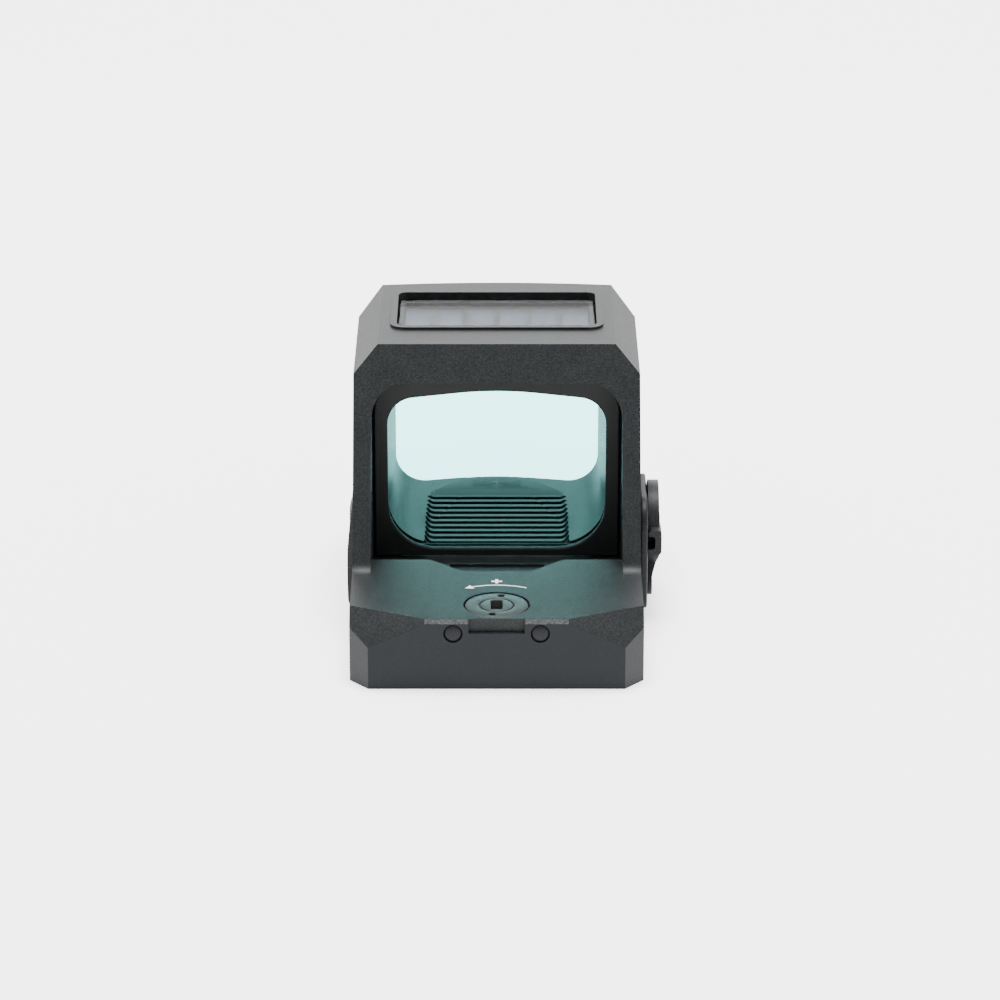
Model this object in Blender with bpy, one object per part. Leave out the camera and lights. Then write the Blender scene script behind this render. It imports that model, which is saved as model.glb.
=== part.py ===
"""Open reflex (red dot) sight: leaning hood, coated lens, solar panel, side battery drawer.

Metres, +Z up. +Y points at the target, so the eye is on the -Y side, and +X is the
user's right. The origin is the middle of the flat underside.
"""
from math import atan2, cos, pi, sin, tan

import bmesh
import bpy
from mathutils import Matrix, Vector

MM = 0.001
GAP = 0.2 * MM  # clearance between fitted pieces
OVERRUN = 1.0 * MM  # how far a cutter runs past the face that it opens

# ---- Housing outside -------------------------------------------------------
HALF_WIDTH = 15.0 * MM
REAR_Y = -22.5 * MM
FRONT_CORNER_Y = 22.2 * MM
FRONT_MIDDLE_Y = 23.0 * MM  # the front face bows forward to here
BOW_STEPS = 8
DECK_Z = 7.5 * MM
TOP_Z = 28.7 * MM
FOOT_Y = -9.2 * MM  # where the leaning eye-side face of the hood meets the deck
HOOD_Y = 2.0 * MM  # where the same face meets the top
FOOT_FILLET = 1.8 * MM
SHOULDER_X = 12.45 * MM  # top chamfers run from here
SHOULDER_Z = 25.9 * MM  # down to here
REAR_CHAMFER = 0.45 * MM
CORNER_X = 13.05 * MM  # upright rear corner chamfers: rear end
CORNER_Y = -20.2 * MM  # and side end
FACET_REAR = (7.35 * MM, REAR_Y, DECK_Z - REAR_CHAMFER)  # three points of the corner facets
FACET_CORNER = (CORNER_X, REAR_Y, 4.5 * MM)
FACET_SIDE = (HALF_WIDTH, -18.4 * MM, DECK_Z)

# ---- Window ----------------------------------------------------------------
RECESS_X = 13.1 * MM
RECESS_TOP = 25.0 * MM
RECESS_RADIUS = 3.4 * MM
DECK_EDGE_Y = -5.65 * MM  # the deck drops into the well here
WELL_Z = 4.9 * MM
NOTCH_REAR_Y = -9.0 * MM  # trapezoid notch in the deck's edge, for the emitter
NOTCH_REAR_X = 3.55 * MM
NOTCH_FRONT_X = 7.0 * MM
NOTCH_Z = 4.4 * MM
STEP_X = 5.0 * MM  # low step across the well, in front of the lens
STEP_Y = -0.4 * MM
STEP_Z = 4.65 * MM
RETAINER_Y = 1.5 * MM
RETAINER_THICK = 0.9 * MM
LENS_THICK = 1.4 * MM
GASKET_THICK = 0.4 * MM
LENS_Y = RETAINER_Y + RETAINER_THICK + GAP
GASKET_Y = LENS_Y + LENS_THICK + GAP
LEDGE_Y = GASKET_Y + GASKET_THICK + GAP
OPENING_X = 11.5 * MM
OPENING_LOW = 5.95 * MM
OPENING_SHOULDER = 22.6 * MM
OPENING_TOP = 23.85 * MM
OPENING_RADII = (5.0 * MM, 3.0 * MM, 40.0 * MM)  # lower corners, shoulders, arch
LENS_RADII = (3.0 * MM, 3.2 * MM)  # lower and upper corners
LENS_EDGE = 0.4 * MM  # the lens is this much inside its recess
LENS_FOOT = 0.35 * MM  # and this far above the well's floor
GASKET_LAP = 0.65 * MM  # the gasket's opening clears the tunnel's walls by this
GASKET_FOOT = 0.55 * MM
GASKET_ROOF = 0.1 * MM
TUNNEL = (11.1 * MM, 5.7 * MM, 6.35 * MM, 24.3 * MM)  # half width, low, middle of the floor, top
TUNNEL_RADII = (3.3 * MM, 3.6 * MM)  # lower and upper corners
FLARE = (11.6 * MM, 5.3 * MM, 5.4 * MM, 24.4 * MM)  # same, where the tunnel opens to the lens
FLARE_RADII = (5.0 * MM, 3.6 * MM)
THROAT_Y = 12.0 * MM  # end of the flare
THROAT = (11.4 * MM, 5.7 * MM, 6.0 * MM, 24.3 * MM)
RAMP_X = 7.8 * MM  # grooved ramp in the tunnel's floor
RAMP_START = (5.0 * MM, 4.7 * MM)
RAMP_END = (18.65 * MM, 5.8 * MM)
RAMP_RUNOUT = (21.6 * MM, 6.45 * MM)  # a gentle slope back up to the tunnel's floor
RAMP_GROOVES = 11
GROOVE_SHARE = 0.3  # of the pitch
GROOVE_DEPTH = 0.4 * MM

# ---- Solar panel -----------------------------------------------------------
PANEL_X = 10.6 * MM
PANEL_NEAR = 7.5 * MM
PANEL_FAR = 18.8 * MM
PANEL_RADIUS = 0.9 * MM
PANEL_FLOOR = 26.4 * MM
BEZEL_WIDE = 0.7 * MM
BEZEL_RISE = 0.25 * MM
GLASS_TOP = 28.5 * MM
GLASS_THICK = 0.5 * MM
CELLS = 6
CELL_PITCH = 3.37 * MM
CELL_SIZE = (2.7 * MM, 6.1 * MM, 0.2 * MM)
PANEL_BOARD = 0.5 * MM
PANEL_SEAL = 0.4 * MM
PANEL_SEAL_WIDE = 0.5 * MM

# ---- Electronics -----------------------------------------------------------
CAVITY_X = 10.6 * MM
CAVITY_REAR = -20.4 * MM
CAVITY_FRONT = -9.9 * MM
CAVITY_TOP = 5.2 * MM
CHANNEL_X = 4.5 * MM  # taller middle of the cavity, for the emitter's carriage
CHANNEL_REAR = -14.2 * MM
CHANNEL_TOP = 6.7 * MM
BOARD_LOW = 1.4 * MM
BOARD_HIGH = 1.7 * MM
BOARD_RADIUS = 0.5 * MM
CHIP_THICK = 0.8 * MM
CHIPS = {  # left, rear, right and front edges
    "controller_chip": (5.2 * MM, -18.6 * MM, 8.6 * MM, -15.2 * MM),
    "charger_chip": (-8.4 * MM, -18.2 * MM, -5.4 * MM, -15.8 * MM),
}

# ---- Elevation screw -------------------------------------------------------
ELEVATION_Y = -18.15 * MM
ELEVATION_TOP = DECK_Z - 0.05 * MM
ELEVATION_HEAD = 3.25 * MM
ELEVATION_HEAD_THICK = 1.3 * MM
ELEVATION_SEAT = 5.6 * MM
ELEVATION_SHANK = 1.2 * MM
ELEVATION_BORE = 1.4 * MM
ELEVATION_LENGTH = 5.5 * MM
HEAD_CLEAR = 0.15 * MM  # between a screw's head and its seat
DIAL_GROOVE = (1.7 * MM, 1.85 * MM)  # inner and outer radius
DIAL_GROOVE_DEPTH = 0.15 * MM
DIAL_SOCKET = (0.65 * MM, 1.3 * MM)  # half width and half length
DIAL_SOCKET_DEPTH = 0.9 * MM
SPANNER_HOLE = (0.45 * MM, 2.5 * MM)  # one of two, opposite each other
SPANNER_RADIUS = 0.4 * MM
SPANNER_DEPTH = 0.6 * MM
ORING_WIRE = 0.4 * MM
ELEVATION_RING = 2.2 * MM
ELEVATION_RING_Z = ELEVATION_SEAT + 0.28 * MM
SLIDER_X = 4.2 * MM
SLIDER_REAR = -19.5 * MM
SLIDER_FRONT = -10.4 * MM
SLIDER_LOW = 2.1 * MM
SLIDER_HIGH = 2.8 * MM
SLIDER_RADIUS = 0.6 * MM
ELEVATION_SPRING = (1.85 * MM, 0.3 * MM, 1.8 * MM, 2.5)  # radius, wire, length, turns
ELEVATION_SPRING_Z = 4.05 * MM

# ---- Windage screw and emitter ---------------------------------------------
WINDAGE_Y = -12.2 * MM
WINDAGE_Z = 4.3 * MM
WINDAGE_OUTER = HALF_WIDTH - 0.1 * MM
WINDAGE_HEAD = 2.3 * MM
WINDAGE_HEAD_THICK = 1.2 * MM
WINDAGE_SEAT = 12.8 * MM
WINDAGE_SHANK = 0.7 * MM
WINDAGE_BORE = 0.85 * MM
WINDAGE_BORE_END = 9.3 * MM
WINDAGE_TIP = 2.2 * MM
WINDAGE_SLOT = (1.5 * MM, 0.3 * MM)  # half length and half width
WINDAGE_SLOT_DEPTH = 0.6 * MM
WINDAGE_RING = 1.4 * MM
WINDAGE_RING_X = WINDAGE_SEAT + 0.35 * MM
EMITTER_Z = 5.2 * MM
CARRIAGE = ((-1.9 * MM, -13.8 * MM, 3.0 * MM), (1.9 * MM, -10.9 * MM, 6.0 * MM))
CARRIAGE_NUT = ((1.5 * MM, -13.5 * MM, 3.0 * MM), (3.7 * MM, -10.9 * MM, 5.6 * MM))
CARRIAGE_BORE = 1.0 * MM
CARRIAGE_BORE_INNER = 1.5 * MM
DIODE_Y = -10.45 * MM
DIODE_RADIUS = 0.6 * MM
DIODE_LENGTH = 0.5 * MM
BEAM_RADIUS = 0.9 * MM
WINDOW_Y = NOTCH_REAR_Y - 0.35 * MM
WINDOW_RADIUS = 0.75 * MM
WINDOW_THICK = 0.3 * MM
WINDAGE_SPRING = (0.85 * MM, 0.2 * MM, 2.1 * MM, 3)
WINDAGE_SPRING_PLACE = (-3.2 * MM, WINDAGE_Y, 4.6 * MM)

# ---- Outline shared by the drawer's door and the keypad ---------------------
SIDE_Y = 2.0 * MM
SIDE_HALF = 6.2 * MM
SIDE_LOW = 1.15 * MM
SIDE_HIGH = 12.9 * MM
SIDE_RADII = (1.0 * MM, 3.0 * MM)  # lower and upper corners

# ---- Battery drawer and latch ----------------------------------------------
DRAWER_HALF = 5.5 * MM
DRAWER_LOW = 1.5 * MM
DRAWER_HIGH = 3.9 * MM
DRAWER_INNER = -4.0 * MM
DRAWER_OUTER = 14.2 * MM
DRAWER_RADIUS = 1.0 * MM
SLOT_INNER = DRAWER_INNER - 0.6 * MM
CELL_X = 2.0 * MM
CELL_RADIUS = 5.0 * MM
CELL_THICK = 2.1 * MM
SEAL_POCKET = 14.4 * MM
SEAL_INNER = 14.5 * MM
SEAL_OUTER = 15.0 * MM
SEAL_INSET = 0.6 * MM
SEAL_HOLE = 1.5 * MM
DOOR_INNER = 15.1 * MM
DOOR_OUTER = 15.85 * MM
DOOR_HOLE = 1.25 * MM
LATCH_Z = 8.64 * MM
LATCH_HOLE = 1.35 * MM
LATCH_HOLE_END = 13.6 * MM
LATCH_PIN = 1.05 * MM
LATCH_PIN_ENDS = (13.85 * MM, 17.0 * MM)
LEVER_INNER = 15.95 * MM
LEVER_HUB = 4.66 * MM
LEVER_FACE = 17.1 * MM
LEVER_RIM = 17.36 * MM  # the raised lug
LEVER_TAIL_X = 16.4 * MM
LEVER_TAIL_TOP = 4.3 * MM  # the ramp ends here
LEVER_RAMP_TOP = 7.3 * MM
LEVER_RISE = (9.0 * MM, 9.9 * MM)
TAIL_END = (-1.2 * MM, 3.3 * MM)
TAIL_RADIUS = 1.4 * MM
TAIL_REACH = 0.7  # share of the way from the tail's end to the hub's middle
LUG = (-3.6 * MM, -1.5 * MM, 7.2 * MM, 9.95 * MM)  # near, far, low, high
LUG_RADIUS = 0.45 * MM
FINGER_SLOT = (16.65 * MM, -1.0 * MM, 7.8 * MM, 9.25 * MM)  # outer, far, low, high
FINGER_RADIUS = 0.35 * MM
CONTACT_OFFSET = 2.4 * MM
CONTACT_HALF = 1.2 * MM
CONTACT_X = DRAWER_INNER - 0.45 * MM
CONTACT_THICK = 0.25 * MM
CONTACT_INSET = 0.6 * MM

# ---- Keypad and buttons ----------------------------------------------------
KEYPAD_DEPTH = 0.9 * MM
KEYPAD_FLOOR = -HALF_WIDTH + KEYPAD_DEPTH - GAP
KEYPAD_CROWN = (  # outer surface from bottom to top: how proud, height
    (0.30 * MM, 1.35 * MM), (0.62 * MM, 2.0 * MM), (0.70 * MM, 3.4 * MM), (0.70 * MM, 7.2 * MM),
    (0.55 * MM, 9.4 * MM), (0.35 * MM, 11.2 * MM), (0.15 * MM, 12.7 * MM))
SWITCH_DEPTH = 0.6 * MM  # further into the wall, which is thin beside the window
SWITCH_THICK = 0.3 * MM
SWITCH_RADIUS = 1.7 * MM
SWITCH_POCKET = 2.0 * MM
SWITCH_X = KEYPAD_FLOOR + GAP + 0.25 * MM
BUTTON_RADIUS = 2.3 * MM
BUTTON_TOP_RADIUS = 1.5 * MM
BUTTON_ROOM = 0.4 * MM  # for the button's travel
BUTTONS = {  # height, how proud the rim is, how proud the top is
    "plus": (9.6 * MM, 0.25 * MM, 0.62 * MM),
    "minus": (4.2 * MM, 0.60 * MM, 0.80 * MM),
}

# ---- Rear face -------------------------------------------------------------
AIM_NOTCH_X = 2.85 * MM
AIM_NOTCH_DEPTH = 0.55 * MM
DOT_X = 4.42 * MM
DOT_Z = 6.05 * MM
DOT_RADIUS = 0.93 * MM
DOT_CLEAR = 0.12 * MM
DOT_ENDS = (REAR_Y - 0.05 * MM, REAR_Y + 1.35 * MM)
DOT_SEAT = REAR_Y + 1.5 * MM

# ---- Underside -------------------------------------------------------------
COVER_X = 12.4 * MM
COVER_REAR = -21.3 * MM
COVER_FRONT = -7.3 * MM
COVER_RADIUS = 1.0 * MM
COVER_THICK = 0.85 * MM
COVER_POCKET = COVER_THICK + 0.7 * MM
COVER_SCREW_X = 11.3 * MM
COVER_SCREW_YS = (-20.2 * MM, -8.4 * MM)
COVER_SEAT = (0.85 * MM, 0.5 * MM)  # radius and depth
COVER_HOLE = 0.62 * MM
COVER_SCREW_HEAD = (0.65 * MM, 0.05 * MM, 0.35 * MM)  # radius, low, high
COVER_SCREW_SHANK = (0.4 * MM, 0.2 * MM, 3.0 * MM)
COVER_THREAD = (0.65 * MM, 3.7 * MM)  # radius and depth of the housing's hole
BASE_GASKET = (COVER_THICK + GAP, COVER_THICK + GAP + 0.3 * MM)
BASE_GASKET_HOLE = 0.5 * MM
BASE_GASKET_LAP = (0.1 * MM, 0.3 * MM, 0.5 * MM)  # past the cavity at the sides, rear and front
BORE_PLACE = (10.5 * MM, 13.5 * MM)
BORE_SIZE = (1.25 * MM, 3.8 * MM)  # radius and depth
LUG_SOCKET_PLACE = (10.5 * MM, 18.6 * MM)
LUG_SOCKET_SIZE = (2.0 * MM, 1.2 * MM)

MATERIALS = {  # colour, roughness, metallic
    "anodised": ((0.045, 0.047, 0.049), 0.5, 0.7),
    "steel": ((0.055, 0.055, 0.058), 0.4, 0.9),
    "lens": ((0.62, 0.93, 0.9), 0.03, 0.0),
    "black_plastic": ((0.02, 0.02, 0.021), 0.55, 0.0),
    "rubber": ((0.03, 0.03, 0.032), 0.8, 0.0),
    "silicon": ((0.19, 0.24, 0.31), 0.3, 0.2),
    "panel_glass": ((0.75, 0.78, 0.8), 0.08, 0.0),
    "panel_board": ((0.5, 0.5, 0.48), 0.6, 0.0),
    "circuit": ((0.03, 0.13, 0.06), 0.5, 0.0),
    "cell_metal": ((0.62, 0.61, 0.58), 0.3, 1.0),
    "brass": ((0.7, 0.52, 0.25), 0.35, 1.0),
    "red_emitter": ((0.6, 0.05, 0.03), 0.25, 0.0),
}

parts = None
cutters = None


# ---- Tools -----------------------------------------------------------------
def material(slot):
    found = bpy.data.materials.get(slot)
    if found:
        return found
    colour, roughness, metallic = MATERIALS[slot]
    made = bpy.data.materials.new(slot)
    made.use_nodes = True
    shader = made.node_tree.nodes["Principled BSDF"]
    shader.inputs["Base Color"].default_value = (*colour, 1)
    shader.inputs["Roughness"].default_value = roughness
    shader.inputs["Metallic"].default_value = metallic
    return made


def add_object(name, mesh, slot=None):
    """A part when it has a material slot, a hidden cutter when it has none."""
    made = bpy.data.objects.new(name, mesh)
    if slot:
        parts.objects.link(made)
        mesh.materials.append(material(slot))
        mesh.shade_smooth()
        mesh.set_sharp_from_angle(angle=pi / 6)
    else:
        cutters.objects.link(made)
        made.hide_render = True
        made.display_type = "WIRE"
    return made


def rounded(corners, steps=5):
    """Points of an outline whose corners (u, v, radius) are turned into arcs."""
    points = []
    for index, (u, v, radius) in enumerate(corners):
        here = Vector((u, v))
        if radius == 0:
            points.append((u, v))
            continue
        back = (Vector(corners[index - 1][:2]) - here).normalized()
        ahead = (Vector(corners[(index + 1) % len(corners)][:2]) - here).normalized()
        half = back.angle(ahead) / 2
        centre = here + (back + ahead).normalized() * (radius / sin(half))
        start = here + back * (radius / tan(half)) - centre
        end = here + ahead * (radius / tan(half)) - centre
        first = atan2(start.y, start.x)
        sweep = (atan2(end.y, end.x) - first + pi) % (2 * pi) - pi
        for step in range(steps + 1):
            angle = first + sweep * step / steps
            points.append((centre.x + radius * cos(angle), centre.y + radius * sin(angle)))
    return points


def rectangle(left, right, low, high, radius=0.0, steps=5):
    corners = [(left, low, radius), (right, low, radius), (right, high, radius), (left, high, radius)]
    return rounded(corners, steps)


def circle(centre, radius, segments=24):
    return [(centre[0] + radius * cos(2 * pi * k / segments),
             centre[1] + radius * sin(2 * pi * k / segments)) for k in range(segments)]


def prism(name, axis, outlines, low, high, slot=None):
    """A flat outline, with inner outlines as holes, extruded along an axis.

    An outline is in (Y, Z) for axis X, in (X, Z) for axis Y and in (X, Y) for axis Z.
    """
    curve = bpy.data.curves.new(name, "CURVE")
    curve.dimensions = "2D"
    curve.fill_mode = "BOTH"
    curve.extrude = (high - low) / 2
    for outline in outlines:
        spline = curve.splines.new("POLY")
        spline.points.add(len(outline) - 1)
        for point, (u, v) in zip(spline.points, outline):
            point.co = (u, v, 0, 1)
        spline.use_cyclic_u = True
    drawn = bpy.data.objects.new(name + "_outline", curve)
    cutters.objects.link(drawn)
    bpy.context.view_layer.update()
    evaluated = drawn.evaluated_get(bpy.context.evaluated_depsgraph_get())
    mesh = bpy.data.meshes.new_from_object(evaluated)
    bpy.data.objects.remove(drawn)
    ends = {True: high, False: low}
    for vertex in mesh.vertices:
        u, v, w = vertex.co
        along = ends[w > 0]
        vertex.co = {"X": (along, u, v), "Y": (u, along, v), "Z": (u, v, along)}[axis]
    close(mesh)
    return add_object(name, mesh, slot)


def loft(name, sections):
    """A solid through outlines in (X, Z) with equal numbers of points; sections are (outline, y)."""
    mesh = bpy.data.meshes.new(name)
    work = bmesh.new()
    rows = [[work.verts.new((u, y, v)) for u, v in outline] for outline, y in sections]
    for first, second in zip(rows, rows[1:]):
        for k, corner in enumerate(first):
            work.faces.new((first[k - 1], corner, second[k], second[k - 1]))
    work.faces.new(rows[0])
    work.faces.new(rows[-1])
    bmesh.ops.triangulate(work, faces=work.faces)
    bmesh.ops.recalc_face_normals(work, faces=work.faces)
    work.to_mesh(mesh)
    work.free()
    return add_object(name, mesh)


def close(mesh):
    """Weld the seams of a mesh and point its faces outward."""
    work = bmesh.new()
    work.from_mesh(mesh)
    bmesh.ops.remove_doubles(work, verts=work.verts, dist=1e-6)
    bmesh.ops.recalc_face_normals(work, faces=work.faces)
    work.to_mesh(mesh)
    work.free()


TURN_TO = {"X": Matrix.Rotation(pi / 2, 4, "Y"), "Y": Matrix.Rotation(-pi / 2, 4, "X"),
           "Z": Matrix.Identity(4)}


def cylinder(name, axis, centre, radius, length, slot=None, segments=32, far_radius=None):
    """A cylinder, or a cone when far_radius is given, along an axis; centre is its middle."""
    mesh = bpy.data.meshes.new(name)
    work = bmesh.new()
    bmesh.ops.create_cone(work, cap_ends=True, segments=segments, radius1=radius,
                          radius2=far_radius or radius, depth=length)
    bmesh.ops.transform(work, matrix=Matrix.Translation(centre) @ TURN_TO[axis], verts=work.verts)
    work.to_mesh(mesh)
    work.free()
    return add_object(name, mesh, slot)


def box(name, low, high, slot=None):
    mesh = bpy.data.meshes.new(name)
    work = bmesh.new()
    size = Vector(high) - Vector(low)
    bmesh.ops.create_cube(work, size=1)
    bmesh.ops.scale(work, vec=size, verts=work.verts)
    bmesh.ops.translate(work, vec=(Vector(high) + Vector(low)) / 2, verts=work.verts)
    work.to_mesh(mesh)
    work.free()
    return add_object(name, mesh, slot)


def ring(name, axis, centre, radius, wire, slot):
    """An O-ring."""
    bpy.ops.mesh.primitive_torus_add(major_radius=radius, minor_radius=wire / 2,
                                     major_segments=24, minor_segments=8)
    drawn = bpy.context.object
    mesh = drawn.data.copy()
    bpy.data.objects.remove(drawn)
    mesh.transform(Matrix.Translation(centre) @ TURN_TO[axis])
    return add_object(name, mesh, slot)


def coil_spring(name, axis, centre, radius, wire, length, turns, slot):
    """A round wire coil along an axis."""
    curve = bpy.data.curves.new(name, "CURVE")
    curve.dimensions = "3D"
    curve.bevel_depth = wire / 2
    curve.bevel_resolution = 2
    curve.use_fill_caps = True
    steps = round(turns * 10)
    spline = curve.splines.new("POLY")
    spline.points.add(steps)
    for index, point in enumerate(spline.points):
        angle = 2 * pi * turns * index / steps
        height = (length - wire) * (index / steps - 0.5)
        point.co = (radius * cos(angle), radius * sin(angle), height, 1)
    drawn = bpy.data.objects.new(name + "_route", curve)
    cutters.objects.link(drawn)
    bpy.context.view_layer.update()
    evaluated = drawn.evaluated_get(bpy.context.evaluated_depsgraph_get())
    mesh = bpy.data.meshes.new_from_object(evaluated)
    bpy.data.objects.remove(drawn)
    close(mesh)
    mesh.transform(Matrix.Translation(centre) @ TURN_TO[axis])
    return add_object(name, mesh, slot)


def boolean(target, tool, operation="DIFFERENCE"):
    modifier = target.modifiers.new(tool.name, "BOOLEAN")
    modifier.operation = operation
    modifier.object = tool
    modifier.solver = "EXACT"


def below_plane(name, first, second, third, depth):
    """A large block whose lower face is the plane through three points, normal upward."""
    a, b, c = Vector(first), Vector(second), Vector(third)
    normal = (b - a).cross(c - a).normalized()
    if normal.z < 0:
        normal = -normal
    side = (b - a).normalized()
    frame = Matrix((side, normal.cross(side), normal)).transposed().to_4x4()
    mesh = bpy.data.meshes.new(name)
    work = bmesh.new()
    bmesh.ops.create_cube(work, size=depth)
    bmesh.ops.translate(work, vec=(0, 0, depth / 2), verts=work.verts)
    bmesh.ops.transform(work, matrix=Matrix.Translation(a) @ frame, verts=work.verts)
    work.to_mesh(mesh)
    work.free()
    return add_object(name, mesh)


def axis_empty(name, place):
    """An empty on a joint's axis, to hold what moves with it."""
    made = bpy.data.objects.new(name, None)
    made.location = place
    parts.objects.link(made)
    bpy.context.view_layer.update()
    return made


def hang(empty, *pieces):
    for piece in pieces:
        piece.parent = empty
        piece.matrix_parent_inverse = empty.matrix_world.inverted()


# ---- Housing ---------------------------------------------------------------
def housing_block():
    """The solid block: side, plan and front outlines intersected."""
    side = rounded([
        (REAR_Y, 0, 0), (FRONT_MIDDLE_Y + OVERRUN, 0, 0), (FRONT_MIDDLE_Y + OVERRUN, TOP_Z, 0),
        (HOOD_Y, TOP_Z, 0), (FOOT_Y, DECK_Z, FOOT_FILLET),
        (REAR_Y + REAR_CHAMFER, DECK_Z, 0), (REAR_Y, DECK_Z - REAR_CHAMFER, 0)])
    block = prism("housing", "X", [side], -HALF_WIDTH, HALF_WIDTH, "anodised")
    bow = FRONT_MIDDLE_Y - FRONT_CORNER_Y
    front = []
    for step in range(BOW_STEPS + 1):
        across = 1 - 2 * step / BOW_STEPS
        front.append((SHOULDER_X * across, FRONT_MIDDLE_Y - bow * across ** 2))
    side_front = FRONT_CORNER_Y - (HALF_WIDTH - SHOULDER_X)
    plan = [(-CORNER_X, REAR_Y), (CORNER_X, REAR_Y), (HALF_WIDTH, CORNER_Y), (HALF_WIDTH, side_front)]
    plan += front + [(-HALF_WIDTH, side_front), (-HALF_WIDTH, CORNER_Y)]
    boolean(block, prism("plan_cutter", "Z", [plan], -OVERRUN, TOP_Z + OVERRUN), "INTERSECT")
    face = [(-HALF_WIDTH, -OVERRUN), (HALF_WIDTH, -OVERRUN), (HALF_WIDTH, SHOULDER_Z),
            (SHOULDER_X, TOP_Z), (-SHOULDER_X, TOP_Z), (-HALF_WIDTH, SHOULDER_Z)]
    boolean(block, prism("front_cutter", "Y", [face], REAR_Y - OVERRUN, FRONT_MIDDLE_Y + OVERRUN),
            "INTERSECT")
    for hand, label in ((-1, "left"), (1, "right")):
        corners = [(hand * x, y, z) for x, y, z in (FACET_REAR, FACET_CORNER, FACET_SIDE)]
        boolean(block, below_plane("facet_cutter_" + label, *corners, depth=2 * HALF_WIDTH))
    return block


def ramp_outline():
    """Side view of what is cut for the ramp: level lands with a square groove before each."""
    start, end = Vector(RAMP_START), Vector(RAMP_END)
    roof = RAMP_RUNOUT[1] + OVERRUN
    points = [(start.x, roof)]
    for number in range(RAMP_GROOVES):
        near = start.lerp(end, number / RAMP_GROOVES)
        land = start.lerp(end, (number + GROOVE_SHARE) / RAMP_GROOVES)
        far = start.lerp(end, (number + 1) / RAMP_GROOVES)
        floor = near.y - GROOVE_DEPTH
        points += [(near.x, floor), (land.x, floor), (land.x, near.y), (far.x, near.y)]
    points.append(RAMP_RUNOUT)
    return points


def tunnel_outline(sizes, radii):
    """Section of the tunnel, whose floor rises to the middle."""
    side, low, hump, top = sizes
    low_radius, high_radius = radii
    return rounded([(-side, low, low_radius), (0, hump, 0), (side, low, low_radius),
                    (side, top, high_radius), (-side, top, high_radius)])


def cut_window(block):
    """Recess for the lens, well, emitter notch, step, tunnel and the grooved ramp."""
    recess = rounded([(-RECESS_X, DECK_Z, 0), (RECESS_X, DECK_Z, 0),
                      (RECESS_X, RECESS_TOP, RECESS_RADIUS), (-RECESS_X, RECESS_TOP, RECESS_RADIUS)])
    boolean(block, prism("recess_cutter", "Y", [recess], FOOT_Y - 3 * OVERRUN, LEDGE_Y))
    well = rectangle(-RECESS_X, RECESS_X, DECK_EDGE_Y, LEDGE_Y)
    boolean(block, prism("well_cutter", "Z", [well], WELL_Z, DECK_Z + OVERRUN))
    overlap = GAP / 4
    notch = [(-NOTCH_REAR_X, NOTCH_REAR_Y), (NOTCH_REAR_X, NOTCH_REAR_Y),
             (NOTCH_FRONT_X, DECK_EDGE_Y + overlap), (-NOTCH_FRONT_X, DECK_EDGE_Y + overlap)]
    boolean(block, prism("notch_cutter", "Z", [notch], NOTCH_Z, DECK_Z + OVERRUN))
    step = rectangle(-STEP_X, STEP_X, DECK_EDGE_Y, STEP_Y)
    boolean(block, prism("step_cutter", "Z", [step], STEP_Z, WELL_Z + OVERRUN))
    sections = [(tunnel_outline(FLARE, FLARE_RADII), LEDGE_Y - overlap),
                (tunnel_outline(THROAT, TUNNEL_RADII), THROAT_Y),
                (tunnel_outline(TUNNEL, TUNNEL_RADII), FRONT_MIDDLE_Y + OVERRUN)]
    boolean(block, loft("tunnel_cutter", sections))
    boolean(block, prism("ramp_cutter", "X", [ramp_outline()], -RAMP_X, RAMP_X))


def cut_panel_seat(block):
    """Raised bezel on the roof and the pocket for the solar panel."""
    rim = rectangle(-PANEL_X - BEZEL_WIDE, PANEL_X + BEZEL_WIDE, PANEL_NEAR - BEZEL_WIDE,
                    PANEL_FAR + BEZEL_WIDE, PANEL_RADIUS + BEZEL_WIDE)
    boolean(block, prism("bezel_block", "Z", [rim], TOP_Z - OVERRUN, TOP_Z + BEZEL_RISE), "UNION")
    pocket = rectangle(-PANEL_X, PANEL_X, PANEL_NEAR, PANEL_FAR, PANEL_RADIUS)
    boolean(block, prism("panel_cutter", "Z", [pocket], PANEL_FLOOR, TOP_Z + OVERRUN))


def bore(block, name, axis, centre, radius, low, high, segments=24):
    """Cuts a round hole; centre is across the axis and low and high are along it."""
    middle = (low + high) / 2
    place = {"X": (middle, *centre), "Y": (centre[0], middle, centre[1]), "Z": (*centre, middle)}[axis]
    boolean(block, cylinder(name, axis, place, radius, high - low, segments=segments))


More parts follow.
